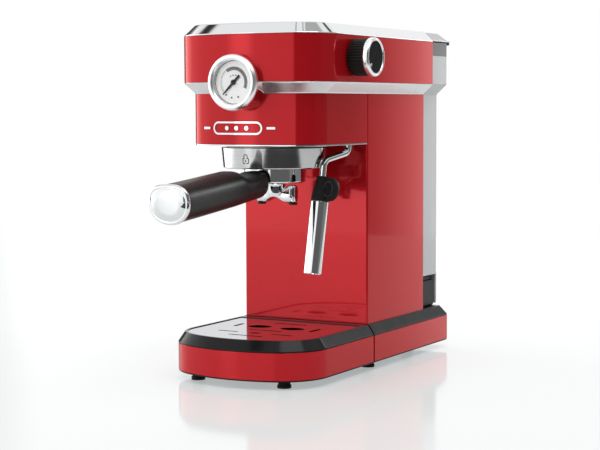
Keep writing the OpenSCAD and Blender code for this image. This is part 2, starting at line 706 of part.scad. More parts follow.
module tank_lid() color([0.85, 0.87, 0.88]) union() {
  hull() {
    plate(rear_outline(2 * tank_high_x, tank_front_y, lid_rear_y, 4), lid_seam_z + lid_gap, lid_seam_z + 2);
    plate(rear_outline(2 * tank_high_x - 2 * lid_side_slope, tank_front_y, lid_rear_y - 9, 3),
      total_h - 1.1, total_h - 1);
  }
  box(-lid_lip_x, lid_lip_x, lid_rear_y - 2, lid_lip_y, lid_seam_z + lid_gap, lid_seam_z + 2.6);
  box(-lid_lip_x, lid_lip_x, lid_lip_y - 2.4, lid_lip_y, lid_seam_z - 2, lid_seam_z + 2.6);
}

// ---- inside ----

boiler_z = 214;
module boiler() color("gainsboro") at_group() difference() {
  box(-36, 36, -27, 60, boiler_z, boiler_z + 32);
  translate([0, 48, 0]) rod_z(3, boiler_z - 1, boiler_z + 16);
}
module pump() color("goldenrod") translate([0, 45, deck_z + frame_t]) union() {
  box(-20, 20, -20, 20, 0, 24);
  rod_z(18, 24, 70);
  rod_z(8, 70, 108);
}

base_pan();
base_skin();
base_deck();
base_feet();
cord_gland();
tray_tub();
tray_skin();
tray_feet();
drip_plate();
front_panel();
side_panel_left();
side_panel_right();
column_frame();
rear_cover();
head_floor();
head_trim();
lower_head_band();
badge();
belt_strip();
upper_head_band();
head_frame();
top_frame();
cup_plate();
button_panel();
button_1();
button_2();
button_3();
gauge_housing();
gauge_bezel();
gauge_dial();
gauge_needle();
gauge_lens();
knob_body();
knob_ring();
knob_face();
knob_spindle();
steam_valve();
group_collar();
group_head();
group_gasket();
shower_screen();
shower_screw();
portafilter_bowl();
filter_basket();
spout();
spout_tips();
handle_neck();
handle_grip();
handle_cap();
wand_nut();
wand_pipe();
wand_grip();
wand_sleeve();
wand_tip();
tank_seat();
tank_body();
tank_lid();
tank_valve();
boiler();
pump();
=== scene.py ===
import json
from math import asin, cos, pi, radians, sin, sqrt

import bmesh
import bpy
from mathutils import Matrix, Vector


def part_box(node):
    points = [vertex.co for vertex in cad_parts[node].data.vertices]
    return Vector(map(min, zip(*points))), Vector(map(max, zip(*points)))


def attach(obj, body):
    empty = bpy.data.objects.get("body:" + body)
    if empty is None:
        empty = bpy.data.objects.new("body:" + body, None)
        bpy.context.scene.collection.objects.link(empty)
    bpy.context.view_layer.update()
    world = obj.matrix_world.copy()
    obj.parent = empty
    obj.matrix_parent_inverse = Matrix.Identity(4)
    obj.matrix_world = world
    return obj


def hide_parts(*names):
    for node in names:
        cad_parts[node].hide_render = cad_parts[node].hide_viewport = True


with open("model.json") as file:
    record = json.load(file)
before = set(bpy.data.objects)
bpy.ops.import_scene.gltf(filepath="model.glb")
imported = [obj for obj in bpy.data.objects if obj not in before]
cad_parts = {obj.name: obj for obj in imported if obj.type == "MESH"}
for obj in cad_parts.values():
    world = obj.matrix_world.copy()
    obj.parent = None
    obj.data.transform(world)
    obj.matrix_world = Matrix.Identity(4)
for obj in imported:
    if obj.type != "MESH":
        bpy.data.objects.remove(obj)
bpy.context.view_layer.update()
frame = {"nodes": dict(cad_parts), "record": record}

MM = 0.001


def low(node):
    """The lowest corner of a CAD node's box at rest, in millimetres."""
    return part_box(node)[0] / MM


def high(node):
    """The highest corner of a CAD node's box at rest, in millimetres."""
    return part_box(node)[1] / MM


def middle(node):
    return (low(node) + high(node)) / 2


# ---------------- sizes, in millimetres

# A bowed outline is (width, front y, bow radius, corner radius).
BASE_BOW = (2 * high("tray_skin").x, low("tray_skin").y, 119.0, 44.0)
HEAD_BOW = (2 * high("upper_head_band").x, low("upper_head_band").y, 150.0, 36.0)
# how far the lower head stands in from the upper head
HEAD_STEP = high("upper_head_band").x - high("lower_head_band").x
TRAY_REAR = high("tray_tub").y
BASE_FRONT = low("base_deck").y
BASE_REAR = high("base_deck").y
COLUMN_X = high("side_panel_right").x
COLUMN_Y = low("front_panel").y
BODY_REAR = high("side_panel_right").y
FOOT_Z = low("tray_tub").z
BAND_LOW = low("tray_skin").z
BAND_Z = high("tray_skin").z
DECK_Z = high("tray_tub").z
HEAD_Z = low("lower_head_band").z
BELT_Z = low("belt_strip").z
BELT_TOP = high("belt_strip").z
FRAME_Z = low("top_frame").z
TOP_Z = high("top_frame").z
GROUP_Y = middle("group_collar").y
GAUGE_Z = middle("gauge_bezel").z
DIAL_Y = low("gauge_dial").y
KNOB_Y = middle("knob_ring").y
KNOB_Z = middle("knob_ring").z

# ---------------- outlines and meshes


BOW_STEPS = 20
CORNER_STEPS = 24
SIDE_STEPS = 6
BLOCK_STEPS = 8
SOFT_STEPS = 3
SMALLEST_R = 0.001      # stands for a point on the axis; its ring is merged into one


def inset(outline, t):
    width, front, bow_r, corner_r = outline
    return (width - 2 * t, front + t, bow_r - t, corner_r - t)


def bow_half(outline, rear):
    """Right half of a bowed outline, from the front's middle round the corner to the rear."""
    width, front, bow_r, corner_r = outline
    middle = front + bow_r
    corner_x = width / 2 - corner_r
    corner_y = middle - sqrt((bow_r - corner_r) ** 2 - corner_x ** 2)
    turn = asin(corner_x / (bow_r - corner_r))
    points = []
    for i in range(BOW_STEPS + 1):
        a = turn * i / BOW_STEPS
        points.append((bow_r * sin(a), middle - bow_r * cos(a)))
    for i in range(1, CORNER_STEPS + 1):
        a = turn + (pi / 2 - turn) * i / CORNER_STEPS
        points.append((corner_x + corner_r * sin(a), corner_y - corner_r * cos(a)))
    for i in range(1, SIDE_STEPS + 1):
        points.append((width / 2, corner_y + (rear - corner_y) * i / SIDE_STEPS))
    return points


def bow_loop(outline, rear):
    """The whole outline, from the left rear round the front to the right rear."""
    half = bow_half(outline, rear)
    return [(-x, y) for x, y in reversed(half[1:])] + half


def block_loop(half_w, front, rear, corner_r):
    """A rectangle with round rear corners, open at the front, from its right to its left."""
    points = [(-half_w, front)]
    corners = ((-half_w + corner_r, pi), (half_w - corner_r, pi / 2))
    for centre_x, start in corners:
        for i in range(BLOCK_STEPS + 1):
            a = start - pi / 2 * i / BLOCK_STEPS
            points.append((centre_x + corner_r * cos(a), rear - corner_r + corner_r * sin(a)))
    points.append((half_w, front))
    return list(reversed(points))


def soften(profile, size, closed=False):
    """Rounds each corner of a profile with a short curve."""
    count = len(profile)
    points = [Vector(p) for p in profile]
    result = []
    for k, p in enumerate(points):
        if not closed and k in (0, count - 1):
            result.append(tuple(p))
            continue
        before = points[k - 1]
        after = points[(k + 1) % count]
        cut_a = min(size, (before - p).length * 0.45)
        cut_b = min(size, (after - p).length * 0.45)
        a = p + (before - p).normalized() * cut_a
        b = p + (after - p).normalized() * cut_b
        for i in range(SOFT_STEPS + 1):
            t = i / SOFT_STEPS
            result.append(tuple(a * (1 - t) ** 2 + p * 2 * t * (1 - t) + b * t ** 2))
    return result


def new_piece(name, mesh, flat=True):
    """An object for a mesh. flat keeps the shading of its flat faces even."""
    piece = bpy.data.objects.new(name, mesh)
    bpy.context.scene.collection.objects.link(piece)
    if flat:
        weighted = piece.modifiers.new("flat faces", "WEIGHTED_NORMAL")
        weighted.keep_sharp = True
    return piece


def mesh_piece(name, points, faces, angle, flat):
    """A smooth-shaded mesh from points in millimetres, with sharp edges kept sharp."""
    mesh = bpy.data.meshes.new(name)
    mesh.from_pydata([tuple(c * MM for c in p) for p in points], [], faces)
    work = bmesh.new()
    work.from_mesh(mesh)
    bmesh.ops.remove_doubles(work, verts=work.verts, dist=1e-7)
    bmesh.ops.recalc_face_normals(work, faces=work.faces)
    work.to_mesh(mesh)
    work.free()
    mesh.shade_smooth()
    mesh.set_sharp_from_angle(angle=radians(angle))
    return new_piece(name, mesh, flat)


def loft(name, rings, closed_rings=True, closed_ends=False, caps=True, angle=32, flat=True):
    """A skin through rings of equally many points, each ring a closed loop or an open line.

    closed_ends joins the last ring to the first, and caps closes the open sides.
    """
    count = len(rings[0])
    points = [p for ring in rings for p in ring]
    faces = []
    spans = len(rings) if closed_ends else len(rings) - 1
    for k in range(spans):
        a = k * count
        b = (k + 1) % len(rings) * count
        for i in range(count if closed_rings else count - 1):
            j = (i + 1) % count
            faces.append((a + i, a + j, b + j, b + i))
    if caps and closed_rings and not closed_ends:
        faces.append(tuple(reversed(range(count))))
        faces.append(tuple((len(rings) - 1) * count + i for i in range(count)))
    if caps and closed_ends and not closed_rings:
        faces.append(tuple(k * count for k in range(len(rings))))
        faces.append(tuple(k * count + count - 1 for k in reversed(range(len(rings)))))
    return mesh_piece(name, points, faces, angle, flat)


def at_height(loop, z):
    return [(x, y, z) for x, y in loop]


def bow_rings(outline, profile):
    """A bowed ring for each (inset, z, rear y) of a profile."""
    return [at_height(bow_loop(inset(outline, t), rear), z) for t, z, rear in profile]


def bow_band(name, outline, profile, rear, round_by):
    """A band round the front and sides: profile is a closed list of (inset, z)."""
    profile = [(t, z, rear) for t, z in soften(profile, round_by, closed=True)]
    return loft(name, bow_rings(outline, profile), closed_rings=False, closed_ends=True)


def lathe(name, profile, place, axis, steps=96, closed=False):
    """A turned piece: profile is a list of (radius, height along axis)."""
    turn = Vector((0, 0, 1)).rotation_difference(Vector(axis)).to_matrix()
    rings = []
    for r, h in profile:
        r = max(r, SMALLEST_R)
        ring = []
        for i in range(steps):
            a = 2 * pi * i / steps
            ring.append(tuple(Vector(place) + turn @ Vector((r * cos(a), r * sin(a), h))))
        rings.append(ring)
    return loft(name, rings, closed_ends=closed)


def slab(name, lowest, highest, round_by, steps=3):
    """A block with rounded edges."""
    work = bmesh.new()
    bmesh.ops.create_cube(work, size=1)
    size = Vector(highest) - Vector(lowest)
    centre = (Vector(highest) + Vector(lowest)) / 2
    for v in work.verts:
        v.co = Vector(v.co[i] * size[i] + centre[i] for i in range(3)) * MM
    bmesh.ops.bevel(work, geom=work.edges[:], offset=round_by * MM, segments=steps, profile=0.5,
                    affect="EDGES", clamp_overlap=True)
    mesh = bpy.data.meshes.new(name)
    work.to_mesh(mesh)
    work.free()
    mesh.shade_smooth()
    return new_piece(name, mesh)


def join(name, parts):
    """Several pieces of the same body as one mesh."""
    mesh = bpy.data.meshes.new(name)
    work = bmesh.new()
    for part in parts:
        part.data.transform(part.matrix_world)
        work.from_mesh(part.data)
        bpy.data.objects.remove(part)
    work.to_mesh(mesh)
    work.free()
    return new_piece(name, mesh)


# ---------------- materials


def new_node(tree, kind, inputs):
    """A node whose inputs, by name or number, hold a value or are joined to an output."""
    node = tree.nodes.new(kind)
    for key, value in inputs.items():
        if isinstance(value, bpy.types.NodeSocket):
            tree.links.new(value, node.inputs[key])
        else:
            node.inputs[key].default_value = value
    return node


class Finish:
    """A node material under construction."""

    def __init__(self, name, colour, rough, metallic=0.0):
        self.material = bpy.data.materials.new(name)
        self.material.use_nodes = True
        self.tree = self.material.node_tree
        self.tree.nodes.clear()
        self.shader = self.add("ShaderNodeBsdfPrincipled", {
            "Base Color": (*colour, 1), "Metallic": metallic, "Roughness": rough})
        self.add("ShaderNodeOutputMaterial", {"Surface": self.shader.outputs["BSDF"]})
        self.place = self.add("ShaderNodeTexCoord", {}).outputs["Object"]

    def add(self, kind, inputs):
        return new_node(self.tree, kind, inputs)

    def put(self, socket, value):
        self.shader.inputs[socket].default_value = value

    def join(self, output, socket):
        self.tree.links.new(output, self.shader.inputs[socket])

    def noise(self, scale, detail=3, stretch=(1, 1, 1)):
        """Noise in the piece's own coordinates, stretched for grain that runs one way."""
        stretched = self.add("ShaderNodeMapping", {"Vector": self.place, "Scale": stretch})
        node = self.add("ShaderNodeTexNoise", {
            "Vector": stretched.outputs["Vector"], "Scale": scale, "Detail": detail})
        return node.outputs["Fac"]

    def spread(self, value, start, end, lowest=0, highest=1):
        """Maps the run of a value from start to end onto the run from lowest to highest."""
        node = self.add("ShaderNodeMapRange", {
            "Value": value, "From Min": start, "From Max": end, "To Min": lowest,
            "To Max": highest})
        return node.outputs["Result"]

    def by_height(self, start, end):
        """Runs from 0 to 1 between two heights in millimetres."""
        split = self.add("ShaderNodeSeparateXYZ", {0: self.place})
        return self.spread(split.outputs["Z"], start * MM, end * MM)

    def vary_rough(self, noise, lowest, highest):
        self.join(self.spread(noise, 0.3, 0.7, lowest, highest), "Roughness")

    def vary_colour(self, value, dark, light):
        node = self.add("ShaderNodeValToRGB", {"Fac": value})
        first, second = node.color_ramp.elements
        first.position = 0.35
        first.color = (*dark, 1)
        second.position = 0.65
        second.color = (*light, 1)
        self.join(node.outputs["Color"], "Base Color")

    def bump(self, noise, depth, strength):
        """Fine relief, depth in millimetres."""
        node = self.add("ShaderNodeBump", {
            "Height": noise, "Strength": strength, "Distance": depth * MM})
        self.join(node.outputs["Normal"], "Normal")

    def coat(self, weight, rough):
        self.put("Coat Weight", weight)
        self.put("Coat Roughness", rough)


def grey(tone):
    return (tone, tone, tone)


def simple(name, colour, rough, metallic=0.0, tones=None, shine=None, relief=None, level=None):
    """A finish from noises of one scale each.

    tones is (scale, dark, light), shine is (scale, lowest and highest roughness), relief is
    (scale, detail, depth, strength), and level is the specular level.
    """
    f = Finish(name, colour, rough, metallic)
    if tones:
        f.vary_colour(f.noise(tones[0]), *tones[1:])
    if shine:
        f.vary_rough(f.noise(shine[0]), *shine[1:])
    if relief:
        f.bump(f.noise(*relief[:2]), *relief[2:])
    if level:
        f.put("Specular IOR Level", level)
    return f.material


def red_lacquer():
    f = Finish("red lacquer", (0.48, 0.008, 0.014), 0.14, metallic=0.36)
    f.vary_colour(f.noise(3), (0.475, 0.008, 0.013), (0.495, 0.009, 0.015))
    f.vary_rough(f.noise(6), 0.13, 0.15)
    f.put("Specular IOR Level", 0.1)
    f.put("Specular Tint", (1, 0.12, 0.12, 1))
    f.coat(0.38, 0.03)
    return f.material


def dull_chrome(name, tone, rough):
    return simple(name, (tone, tone, tone * 1.01), rough, 1.0,
                  shine=(45, rough * 0.85, rough * 1.15))


def brushed_steel(name="brushed steel", stretch=(4, 4, 900), tone=0.72, rough=(0.1, 0.18)):
    f = Finish(name, (tone, tone, tone * 1.01), 0.14, metallic=1.0)
    lines = f.noise(3, 4, stretch)
    f.vary_colour(lines, grey(tone * 0.93), grey(tone * 1.05))
    f.vary_rough(lines, *rough)
    f.bump(lines, 0.02, 0.06)
    return f.material


def mirror_steel():
    f = Finish("polished plate", (0.78, 0.78, 0.79), 0.09, metallic=1.0)
    f.put("Specular Tint", (0.7, 0.7, 0.72, 1))
    f.vary_rough(f.noise(3, 4, (4, 300, 4)), 0.07, 0.12)
    return f.material


def satin_black(name="satin black plastic", tone=0.012, rough=(0.36, 0.46), grain=0.03):
    f = Finish(name, grey(tone), 0.4)
    f.put("Specular IOR Level", 0.22)
    grit = f.noise(1500, 2)
    f.vary_colour(f.noise(90), grey(tone * 0.85), grey(tone * 1.15))
    f.vary_rough(grit, *rough)
    f.bump(grit, grain, 0.25)
    return f.material


def flat_black():
    return simple("flat black", grey(0.01), 0.7, tones=(200, grey(0.008), grey(0.013)),
                  shine=(600, 0.65, 0.8), level=0.15)


def rubber(name, dark, light):
    return simple(name, dark, 0.6, tones=(400, dark, light), shine=(700, 0.5, 0.66),
                  relief=(900, 2, 0.04, 0.3), level=0.15)


def printed(name, tone):
    return simple(name, grey(tone), 0.5, tones=(600, grey(tone * 0.9), grey(tone * 1.1)))


def clear_lens():
    f = Finish("clear lens", (1, 1, 1), 0.02)
    f.put("Transmission Weight", 1.0)
    f.put("IOR", 1.3)
    f.put("Alpha", 0.12)
    f.vary_rough(f.noise(50), 0.01, 0.03)
    return f.material


TANK_BAND_Z = 284.0


def tank_plastic():
    """Tinted plastic that turns dark above TANK_BAND_Z, as in the photo."""
    f = Finish("tank plastic", (0.5, 0.51, 0.52), 0.24, metallic=0.3)
    turns_dark = f.by_height(TANK_BAND_Z - 0.5, TANK_BAND_Z + 0.5)
    f.vary_colour(turns_dark, (0.46, 0.47, 0.48), (0.03, 0.031, 0.033))
    f.vary_rough(f.noise(12, 1), 0.22, 0.26)
    f.coat(0.3, 0.1)
    return f.material


def silver_plastic():
    f = Finish("silvered plastic", (0.5, 0.5, 0.51), 0.2, metallic=0.9)
    f.vary_rough(f.noise(60), 0.16, 0.24)
    f.coat(0.25, 0.05)
    return f.material


FINISHES = {
    "red_lacquer": red_lacquer(),
    "chrome": simple("chrome", (0.81, 0.82, 0.83), 0.05, 1.0, shine=(45, 0.03, 0.07)),
    "steel": brushed_steel(),
    "gloss_black": simple("gloss black plastic", (0.01, 0.01, 0.011), 0.16,
                          shine=(70, 0.13, 0.19), level=0.16),
    "matte_black": satin_black(),
    "grey_plastic": simple("grey plastic", (0.2, 0.2, 0.21), 0.5,
                           tones=(120, grey(0.17), grey(0.22)), relief=(1300, 2, 0.04, 0.3)),
    "rubber": rubber("rubber", grey(0.007), grey(0.012)),
    "gasket": rubber("gasket rubber", (0.16, 0.03, 0.015), (0.2, 0.045, 0.02)),
    "dial_white": simple("white dial", (0.95, 0.95, 0.94), 0.45, shine=(500, 0.4, 0.5),
                         tones=(300, (0.94, 0.94, 0.93), (0.96, 0.96, 0.95))),
    "needle_black": satin_black("pointer paint", 0.01, (0.3, 0.4), 0.01),
    "clear": clear_lens(),
    "tank_clear": tank_plastic(),
    "lid_silver": silver_plastic(),
    "brass": simple("brass", (0.6, 0.4, 0.15), 0.3, 1.0, shine=(80, 0.24, 0.38),
                    relief=(600, 2, 0.03, 0.2)),
    "cast_aluminium": simple("cast aluminium", grey(0.5), 0.45, 1.0,
                             tones=(180, grey(0.44), grey(0.54)), relief=(500, 3, 0.1, 0.4)),
}


def wear(piece, slot_name, body, *nodes, finish=None):
    """Gives a new piece its finish and body, and hides the CAD nodes it stands for.

    finish takes the place of the slot's own look where this piece differs from it.
    """
    piece.data.materials.clear()
    piece.data.materials.append(finish or FINISHES[slot_name])
    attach(piece, body)
    if nodes:
        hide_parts(*nodes)
    return piece


# ---------------- carried-over CAD nodes

for part in frame["record"]["subparts"]:
    node = frame["nodes"][part["node"]]
    node.data.materials.clear()
    node.data.materials.append(FINISHES[part["material_slot"]])

# CAD nodes whose edges get a small round, with its width
BEVELLED = {
    "drip_plate": 0.25, "cup_plate": 0.3, "button_panel": 0.3, "badge": 0.15, "base_feet": 0.5,
    "tray_feet": 0.5, "button_1": 0.4, "button_2": 0.4, "button_3": 0.4,
    "filter_basket": 0.2, "wand_nut": 0.3, "cord_gland": 0.4,
}
for name, width in BEVELLED.items():
    rounding = frame["nodes"][name].modifiers.new("soft edges", "BEVEL")
    rounding.width = width * MM
    rounding.segments = 2
    rounding.limit_method = "ANGLE"
    rounding.angle_limit = radians(40)
    rounding.harden_normals = True

# the two plates have looks of their own
frame["nodes"]["drip_plate"].data.materials[0] = mirror_steel()
frame["nodes"]["cup_plate"].data.materials[0] = brushed_steel(
    "brushed cup plate", (500, 6, 6), 0.62, (0.16, 0.28))

# ---------------- base and drip tray

SHEET = 1.2             # thickness of the red sheet
SHEET_EDGE = 0.35       # round on the sheet's edges
SLOPE = 6.0             # width of the bevel at the front and sides
REAR_SLOPE = 5.0
REAR_CORNER = 3.5
RIM = 8.3               # from the tray's side in to its plate
RIM_REAR = 8.0
TRAY_LEDGE = 3.0        # what the plate rests on
TRAY_FLOOR = FOOT_Z + 3
PLATE_Z = low("drip_plate").z
UNDER_IN = 6.0          # how far the flat underside stands in from the red band
BAND_TOP = BAND_Z - 0.3
# the black body behind the red band, up to the top of its bevel, as (inset, z)
BLACK_BODY = [
    (SHEET + UNDER_IN, FOOT_Z), (0.3, FOOT_Z), (0.3, BAND_LOW - 0.15),
    (SHEET + 0.1, BAND_LOW - 0.15), (SHEET + 0.1, BAND_Z - 0.2), (0, BAND_Z), (0, BAND_Z + 0.7),
    (SLOPE, DECK_Z),
]


def sheet_profile(lowest, highest):
    return [(0, lowest), (0, highest), (SHEET, highest), (SHEET, lowest)]


def red_band(name, outline, lowest, highest, rear):
    """A band of red sheet between two heights."""
    return bow_band(name, outline, sheet_profile(lowest, highest), rear, SHEET_EDGE)


def tray_tub():
    inner = TRAY_REAR - RIM_REAR
    under, *sides = BLACK_BODY
    profile = [(*under, TRAY_REAR - UNDER_IN)]
    profile += [(t, z, TRAY_REAR) for t, z in sides]
    profile += [
        (RIM, DECK_Z, inner), (RIM, PLATE_Z, inner),
        (RIM + TRAY_LEDGE, PLATE_Z, inner - TRAY_LEDGE),
        (RIM + TRAY_LEDGE, TRAY_FLOOR, inner - TRAY_LEDGE),
        (RIM + TRAY_LEDGE + 4, TRAY_FLOOR, inner - TRAY_LEDGE - 4),
    ]
    return loft("tray_tub_shape", bow_rings(BASE_BOW, soften(profile, 0.5)))


def base_skin():
    """The red band round the rear base, open at the front, where the tray meets it."""
    half_w = BASE_BOW[0] / 2
    rings = []
    for t, z in soften(sheet_profile(BAND_LOW, BAND_TOP), SHEET_EDGE, closed=True):
        loop = block_loop(half_w - t, BASE_FRONT, BASE_REAR - t, REAR_CORNER - t * 0.7)
        rings.append(at_height(loop, z))
    return loft("base_red_band", rings, closed_rings=False, closed_ends=True)


def base_deck():
    half_w = BASE_BOW[0] / 2
    rings = []
    for t, z in soften([*BLACK_BODY, (SLOPE + 6, DECK_Z)], 0.5):
        rear = BASE_REAR - t * REAR_SLOPE / SLOPE
        loop = block_loop(half_w - t, BASE_FRONT + max(t - SLOPE, 0), rear, REAR_CORNER)
        rings.append(at_height(loop, z))
    return loft("base_deck_shape", rings)


wear(red_band("tray_red_band", BASE_BOW, BAND_LOW, BAND_TOP, TRAY_REAR),
     "red_lacquer", "tray", "tray_skin")
wear(tray_tub(), "gloss_black", "tray", "tray_tub")
wear(base_skin(), "red_lacquer", "machine", "base_skin")
wear(base_deck(), "gloss_black", "machine", "base_deck")

# ---------------- column

COLUMN_CORNER = 1.6
CORNER_PARTS = 6


def column_line(t):
    """The column's outline from its left rear to its right rear, t in from its outside."""
    r = COLUMN_CORNER - t * 0.9
    line = [(-COLUMN_X + t, BODY_REAR)]
    for side in (-1, 1):
        for i in range(CORNER_PARTS + 1):
            a = pi / 2 * i / CORNER_PARTS
            x = COLUMN_X - COLUMN_CORNER + r * (cos(a) if side < 0 else sin(a))
            y = COLUMN_Y + COLUMN_CORNER - r * (sin(a) if side < 0 else cos(a))
            line.append((side * x, y))
    line.append((COLUMN_X - t, BODY_REAR))
    return line


def column_shell():
    """The two side panels and the front panel, bent from one sheet."""
    outer = column_line(0)
    inner = column_line(SHEET)
    stack = [at_height(outer, DECK_Z), at_height(outer, BELT_Z),
             at_height(inner, BELT_Z), at_height(inner, DECK_Z)]
    return loft("column_red_shell", stack, closed_rings=False, closed_ends=True)


wear(column_shell(), "red_lacquer", "machine",
     "front_panel", "side_panel_left", "side_panel_right")

# ---------------- head

LOW_BOW = inset(HEAD_BOW, HEAD_STEP)
FRAME_IN = 12.0         # from the head's side in to the cup plate
LOW_REAR = COLUMN_Y - 0.25
TRIM_H = 1.5
TRIM_IN = 3.0


def head_trim():
    profile = [(0.25, HEAD_Z - TRIM_H), (0.25, HEAD_Z), (TRIM_IN, HEAD_Z),
               (TRIM_IN, HEAD_Z - TRIM_H)]
    return bow_band("head_bright_trim", LOW_BOW, profile, LOW_REAR, 0.5)


def belt():
    s = HEAD_STEP
    profile = [(s, BELT_Z), (s - 0.3, BELT_Z + 0.9), (0.5, BELT_TOP - 1.1), (0, BELT_TOP),
               (FRAME_IN, BELT_TOP), (FRAME_IN, BELT_Z)]
    return bow_band("bright_belt", HEAD_BOW, profile, BODY_REAR, 0.5)


def top_frame():
    """The sloping frame, with a ledge inside it that carries the cup plate."""
    s = HEAD_STEP
    inner_rear = BODY_REAR - 6
    ledge = 4
    ledge_z = FRAME_Z + 3
    profile = [
        (0, FRAME_Z, BODY_REAR), (0, FRAME_Z + 0.7, BODY_REAR),
        (s - 0.4, TOP_Z - 0.4, BODY_REAR), (s + 0.4, TOP_Z, BODY_REAR),
        (FRAME_IN, TOP_Z, inner_rear), (FRAME_IN, ledge_z, inner_rear),
        (FRAME_IN + ledge, ledge_z, inner_rear - ledge),
        (FRAME_IN + ledge, FRAME_Z, inner_rear - ledge),
    ]
    rings = bow_rings(HEAD_BOW, soften(profile, 0.5, closed=True))
    return loft("top_bright_frame", rings, closed_ends=True)


wear(red_band("lower_head_red", LOW_BOW, HEAD_Z + 0.1, BELT_Z, LOW_REAR),
     "red_lacquer", "machine", "lower_head_band")
wear(head_trim(), "chrome", "machine", "head_trim")
wear(belt(), "chrome", "machine", "belt_strip", finish=dull_chrome("belt chrome", 0.72, 0.24))
wear(red_band("upper_head_red", HEAD_BOW, BELT_TOP + 0.1, FRAME_Z - 0.1, BODY_REAR),
     "red_lacquer", "machine", "upper_head_band")
wear(top_frame(), "chrome", "machine", "top_frame")

# ---------------- gauge

GAUGE_R = high("gauge_bezel").x
GAUGE_PLACE = (0, high("gauge_dial").y, GAUGE_Z)
FORWARD = (0, -1, 0)
DIAL_R = 19.0
CAN_R = 20.9
CAN_WALL = 2.0
CAN_DEPTH = 31.0
INK_Z = 0.01            # how far printed pieces stand off what they are printed on
INK_TOP = 0.06


def bezel():
    profile = soften([
        (DIAL_R - 0.6, 4.6), (DIAL_R + 0.4, 0), (GAUGE_R - 0.6, 0), (GAUGE_R, 1.5), (GAUGE_R, 3.4),
        (GAUGE_R - 0.9, 5.6), (GAUGE_R - 2.4, 6.7), (DIAL_R + 1.3, 6.7), (DIAL_R - 0.6, 5.4),
    ], 0.9, closed=True)
    return lathe("gauge_bright_ring", profile, GAUGE_PLACE, FORWARD, closed=True, steps=128)


def housing():
    """The can behind the dial, with a flange at its front."""
    inner_r = CAN_R - CAN_WALL
    can = soften([(CAN_R, 0), (CAN_R, -CAN_DEPTH), (inner_r, -CAN_DEPTH), (inner_r, -CAN_WALL),
                  (2, -CAN_WALL), (2, 0)], 0.3)
    flange = [(GAUGE_R - 1, 0), (GAUGE_R - 1, -CAN_WALL)]
    return lathe("gauge_can", flange + can[1:], GAUGE_PLACE, FORWARD, steps=128)


def on_dial(r, a, lift):
    """A point on the dial's face: a is clockwise from the top, in degrees."""
    return (r * sin(radians(a)), DIAL_Y - lift, GAUGE_Z + r * cos(radians(a)))


def dial_arc(r_in, r_out, a0, a1, steps=40, lift=INK_TOP):
    """A printed arc between two angles."""
    rings = []
    for i in range(steps + 1):
        a = a0 + (a1 - a0) * i / steps
        rings.append([on_dial(r_in, a, lift), on_dial(r_out, a, lift),
                      on_dial(r_out, a, INK_Z), on_dial(r_in, a, INK_Z)])
    return loft("arc", rings)


def dial_ticks(count, start, sweep, r_in, r_out, half_width, steps):
    """Evenly spaced ticks, with all angles in degrees."""
    ticks = []
    for i in range(count):
        a = start + sweep * i / (count - 1)
        ticks.append(dial_arc(r_in, r_out, a - half_width, a + half_width, steps))
    return ticks


def dial_print():
    dark = dial_ticks(37, -35, 148, 10.5, 13.1, 1.3, 2)
    dark += dial_ticks(15, -132, 92, 11.4, 12.4, 0.5, 1)
    dark.append(dial_arc(DIAL_R - 1.1, DIAL_R - 0.5, 0, 360, 96))
    # three round marks low on the dial
    for a in (-144, -170, 161):
        dark.append(dial_arc(12.2, 13.8, a - 3.2, a + 3.2, 3))
    # a broken arc above the needle's pivot
    for a in (-40, -14, 12, 38):
        dark.append(dial_arc(5.6, 6.5, a, a + 14, 4))
    return join("gauge_scale", dark)


def dial_grey():
    return join("gauge_scale_grey", [
        dial_arc(10.2, 13.3, -36.5, 114.5, lift=0.03),
        dial_arc(12.7, 13.2, -132, -38),
    ])


wear(bezel(), "chrome", "machine", "gauge_bezel", finish=dull_chrome("ring chrome", 0.97, 0.3))
wear(housing(), "chrome", "machine", "gauge_housing")
wear(dial_print(), "needle_black", "machine", finish=printed("dial print", 0.06))
wear(dial_grey(), "needle_black", "machine", finish=printed("dial print grey", 0.35))

# ---------------- steam knob

KNOB_R = (high("knob_ring").y - low("knob_ring").y) / 2
FACE_R = (high("knob_face").y - low("knob_face").y) / 2
HEAD_X = high("upper_head_band").x
KNOB_PLACE = (low("knob_ring").x, KNOB_Y, KNOB_Z)       # where the ring starts
OUTWARD = (1, 0, 0)
RIBS = 40
POINTS_PER_RIB = 8
RIB_DEPTH = 0.45
RIB_FLAT = 1.6          # over 1 makes the tops and the grooves flat
RIBS_FROM = 1.5         # the ribs start this far out from the head
POINTER_TURN = radians(218)
POINTER_IN = 10.2
POINTER_OUT = 14.4


def knob_grip():
    """The knob's ribbed barrel."""
    count = RIBS * POINTS_PER_RIB
    rings = []
    for x, r in ((0.8, 13.6), (1.2, 14.8), (2.0, 15.4), (15.6, 15.5), (16.5, 15.3)):
        ring = []
        for i in range(count):
            a = 2 * pi * i / count
            rib = max(min(cos(RIBS * a) * RIB_FLAT, 1), -1)
            out = r + (RIB_DEPTH * rib if x > RIBS_FROM else 0)
            ring.append((HEAD_X + x, KNOB_Y + out * cos(a), KNOB_Z + out * sin(a)))
        rings.append(ring)
    return loft("knob_barrel", rings, angle=50)


def knob_ring():
    profile = soften([(KNOB_R - 0.3, 0), (KNOB_R, 0.8), (KNOB_R, 4.2), (KNOB_R - 1.2, 5.5),
                      (FACE_R + 0.8, 5.5), (FACE_R, 4.7), (FACE_R, 0)], 0.6, closed=True)
    return lathe("knob_bright_ring", profile, KNOB_PLACE, OUTWARD, closed=True, steps=128)


def knob_face():
    profile = soften([(FACE_R, 0), (FACE_R, 3.8), (FACE_R - 0.6, 4.3), (10, 4.4), (0, 4.5)], 0.4)
    return lathe("knob_cap", profile, KNOB_PLACE, OUTWARD)


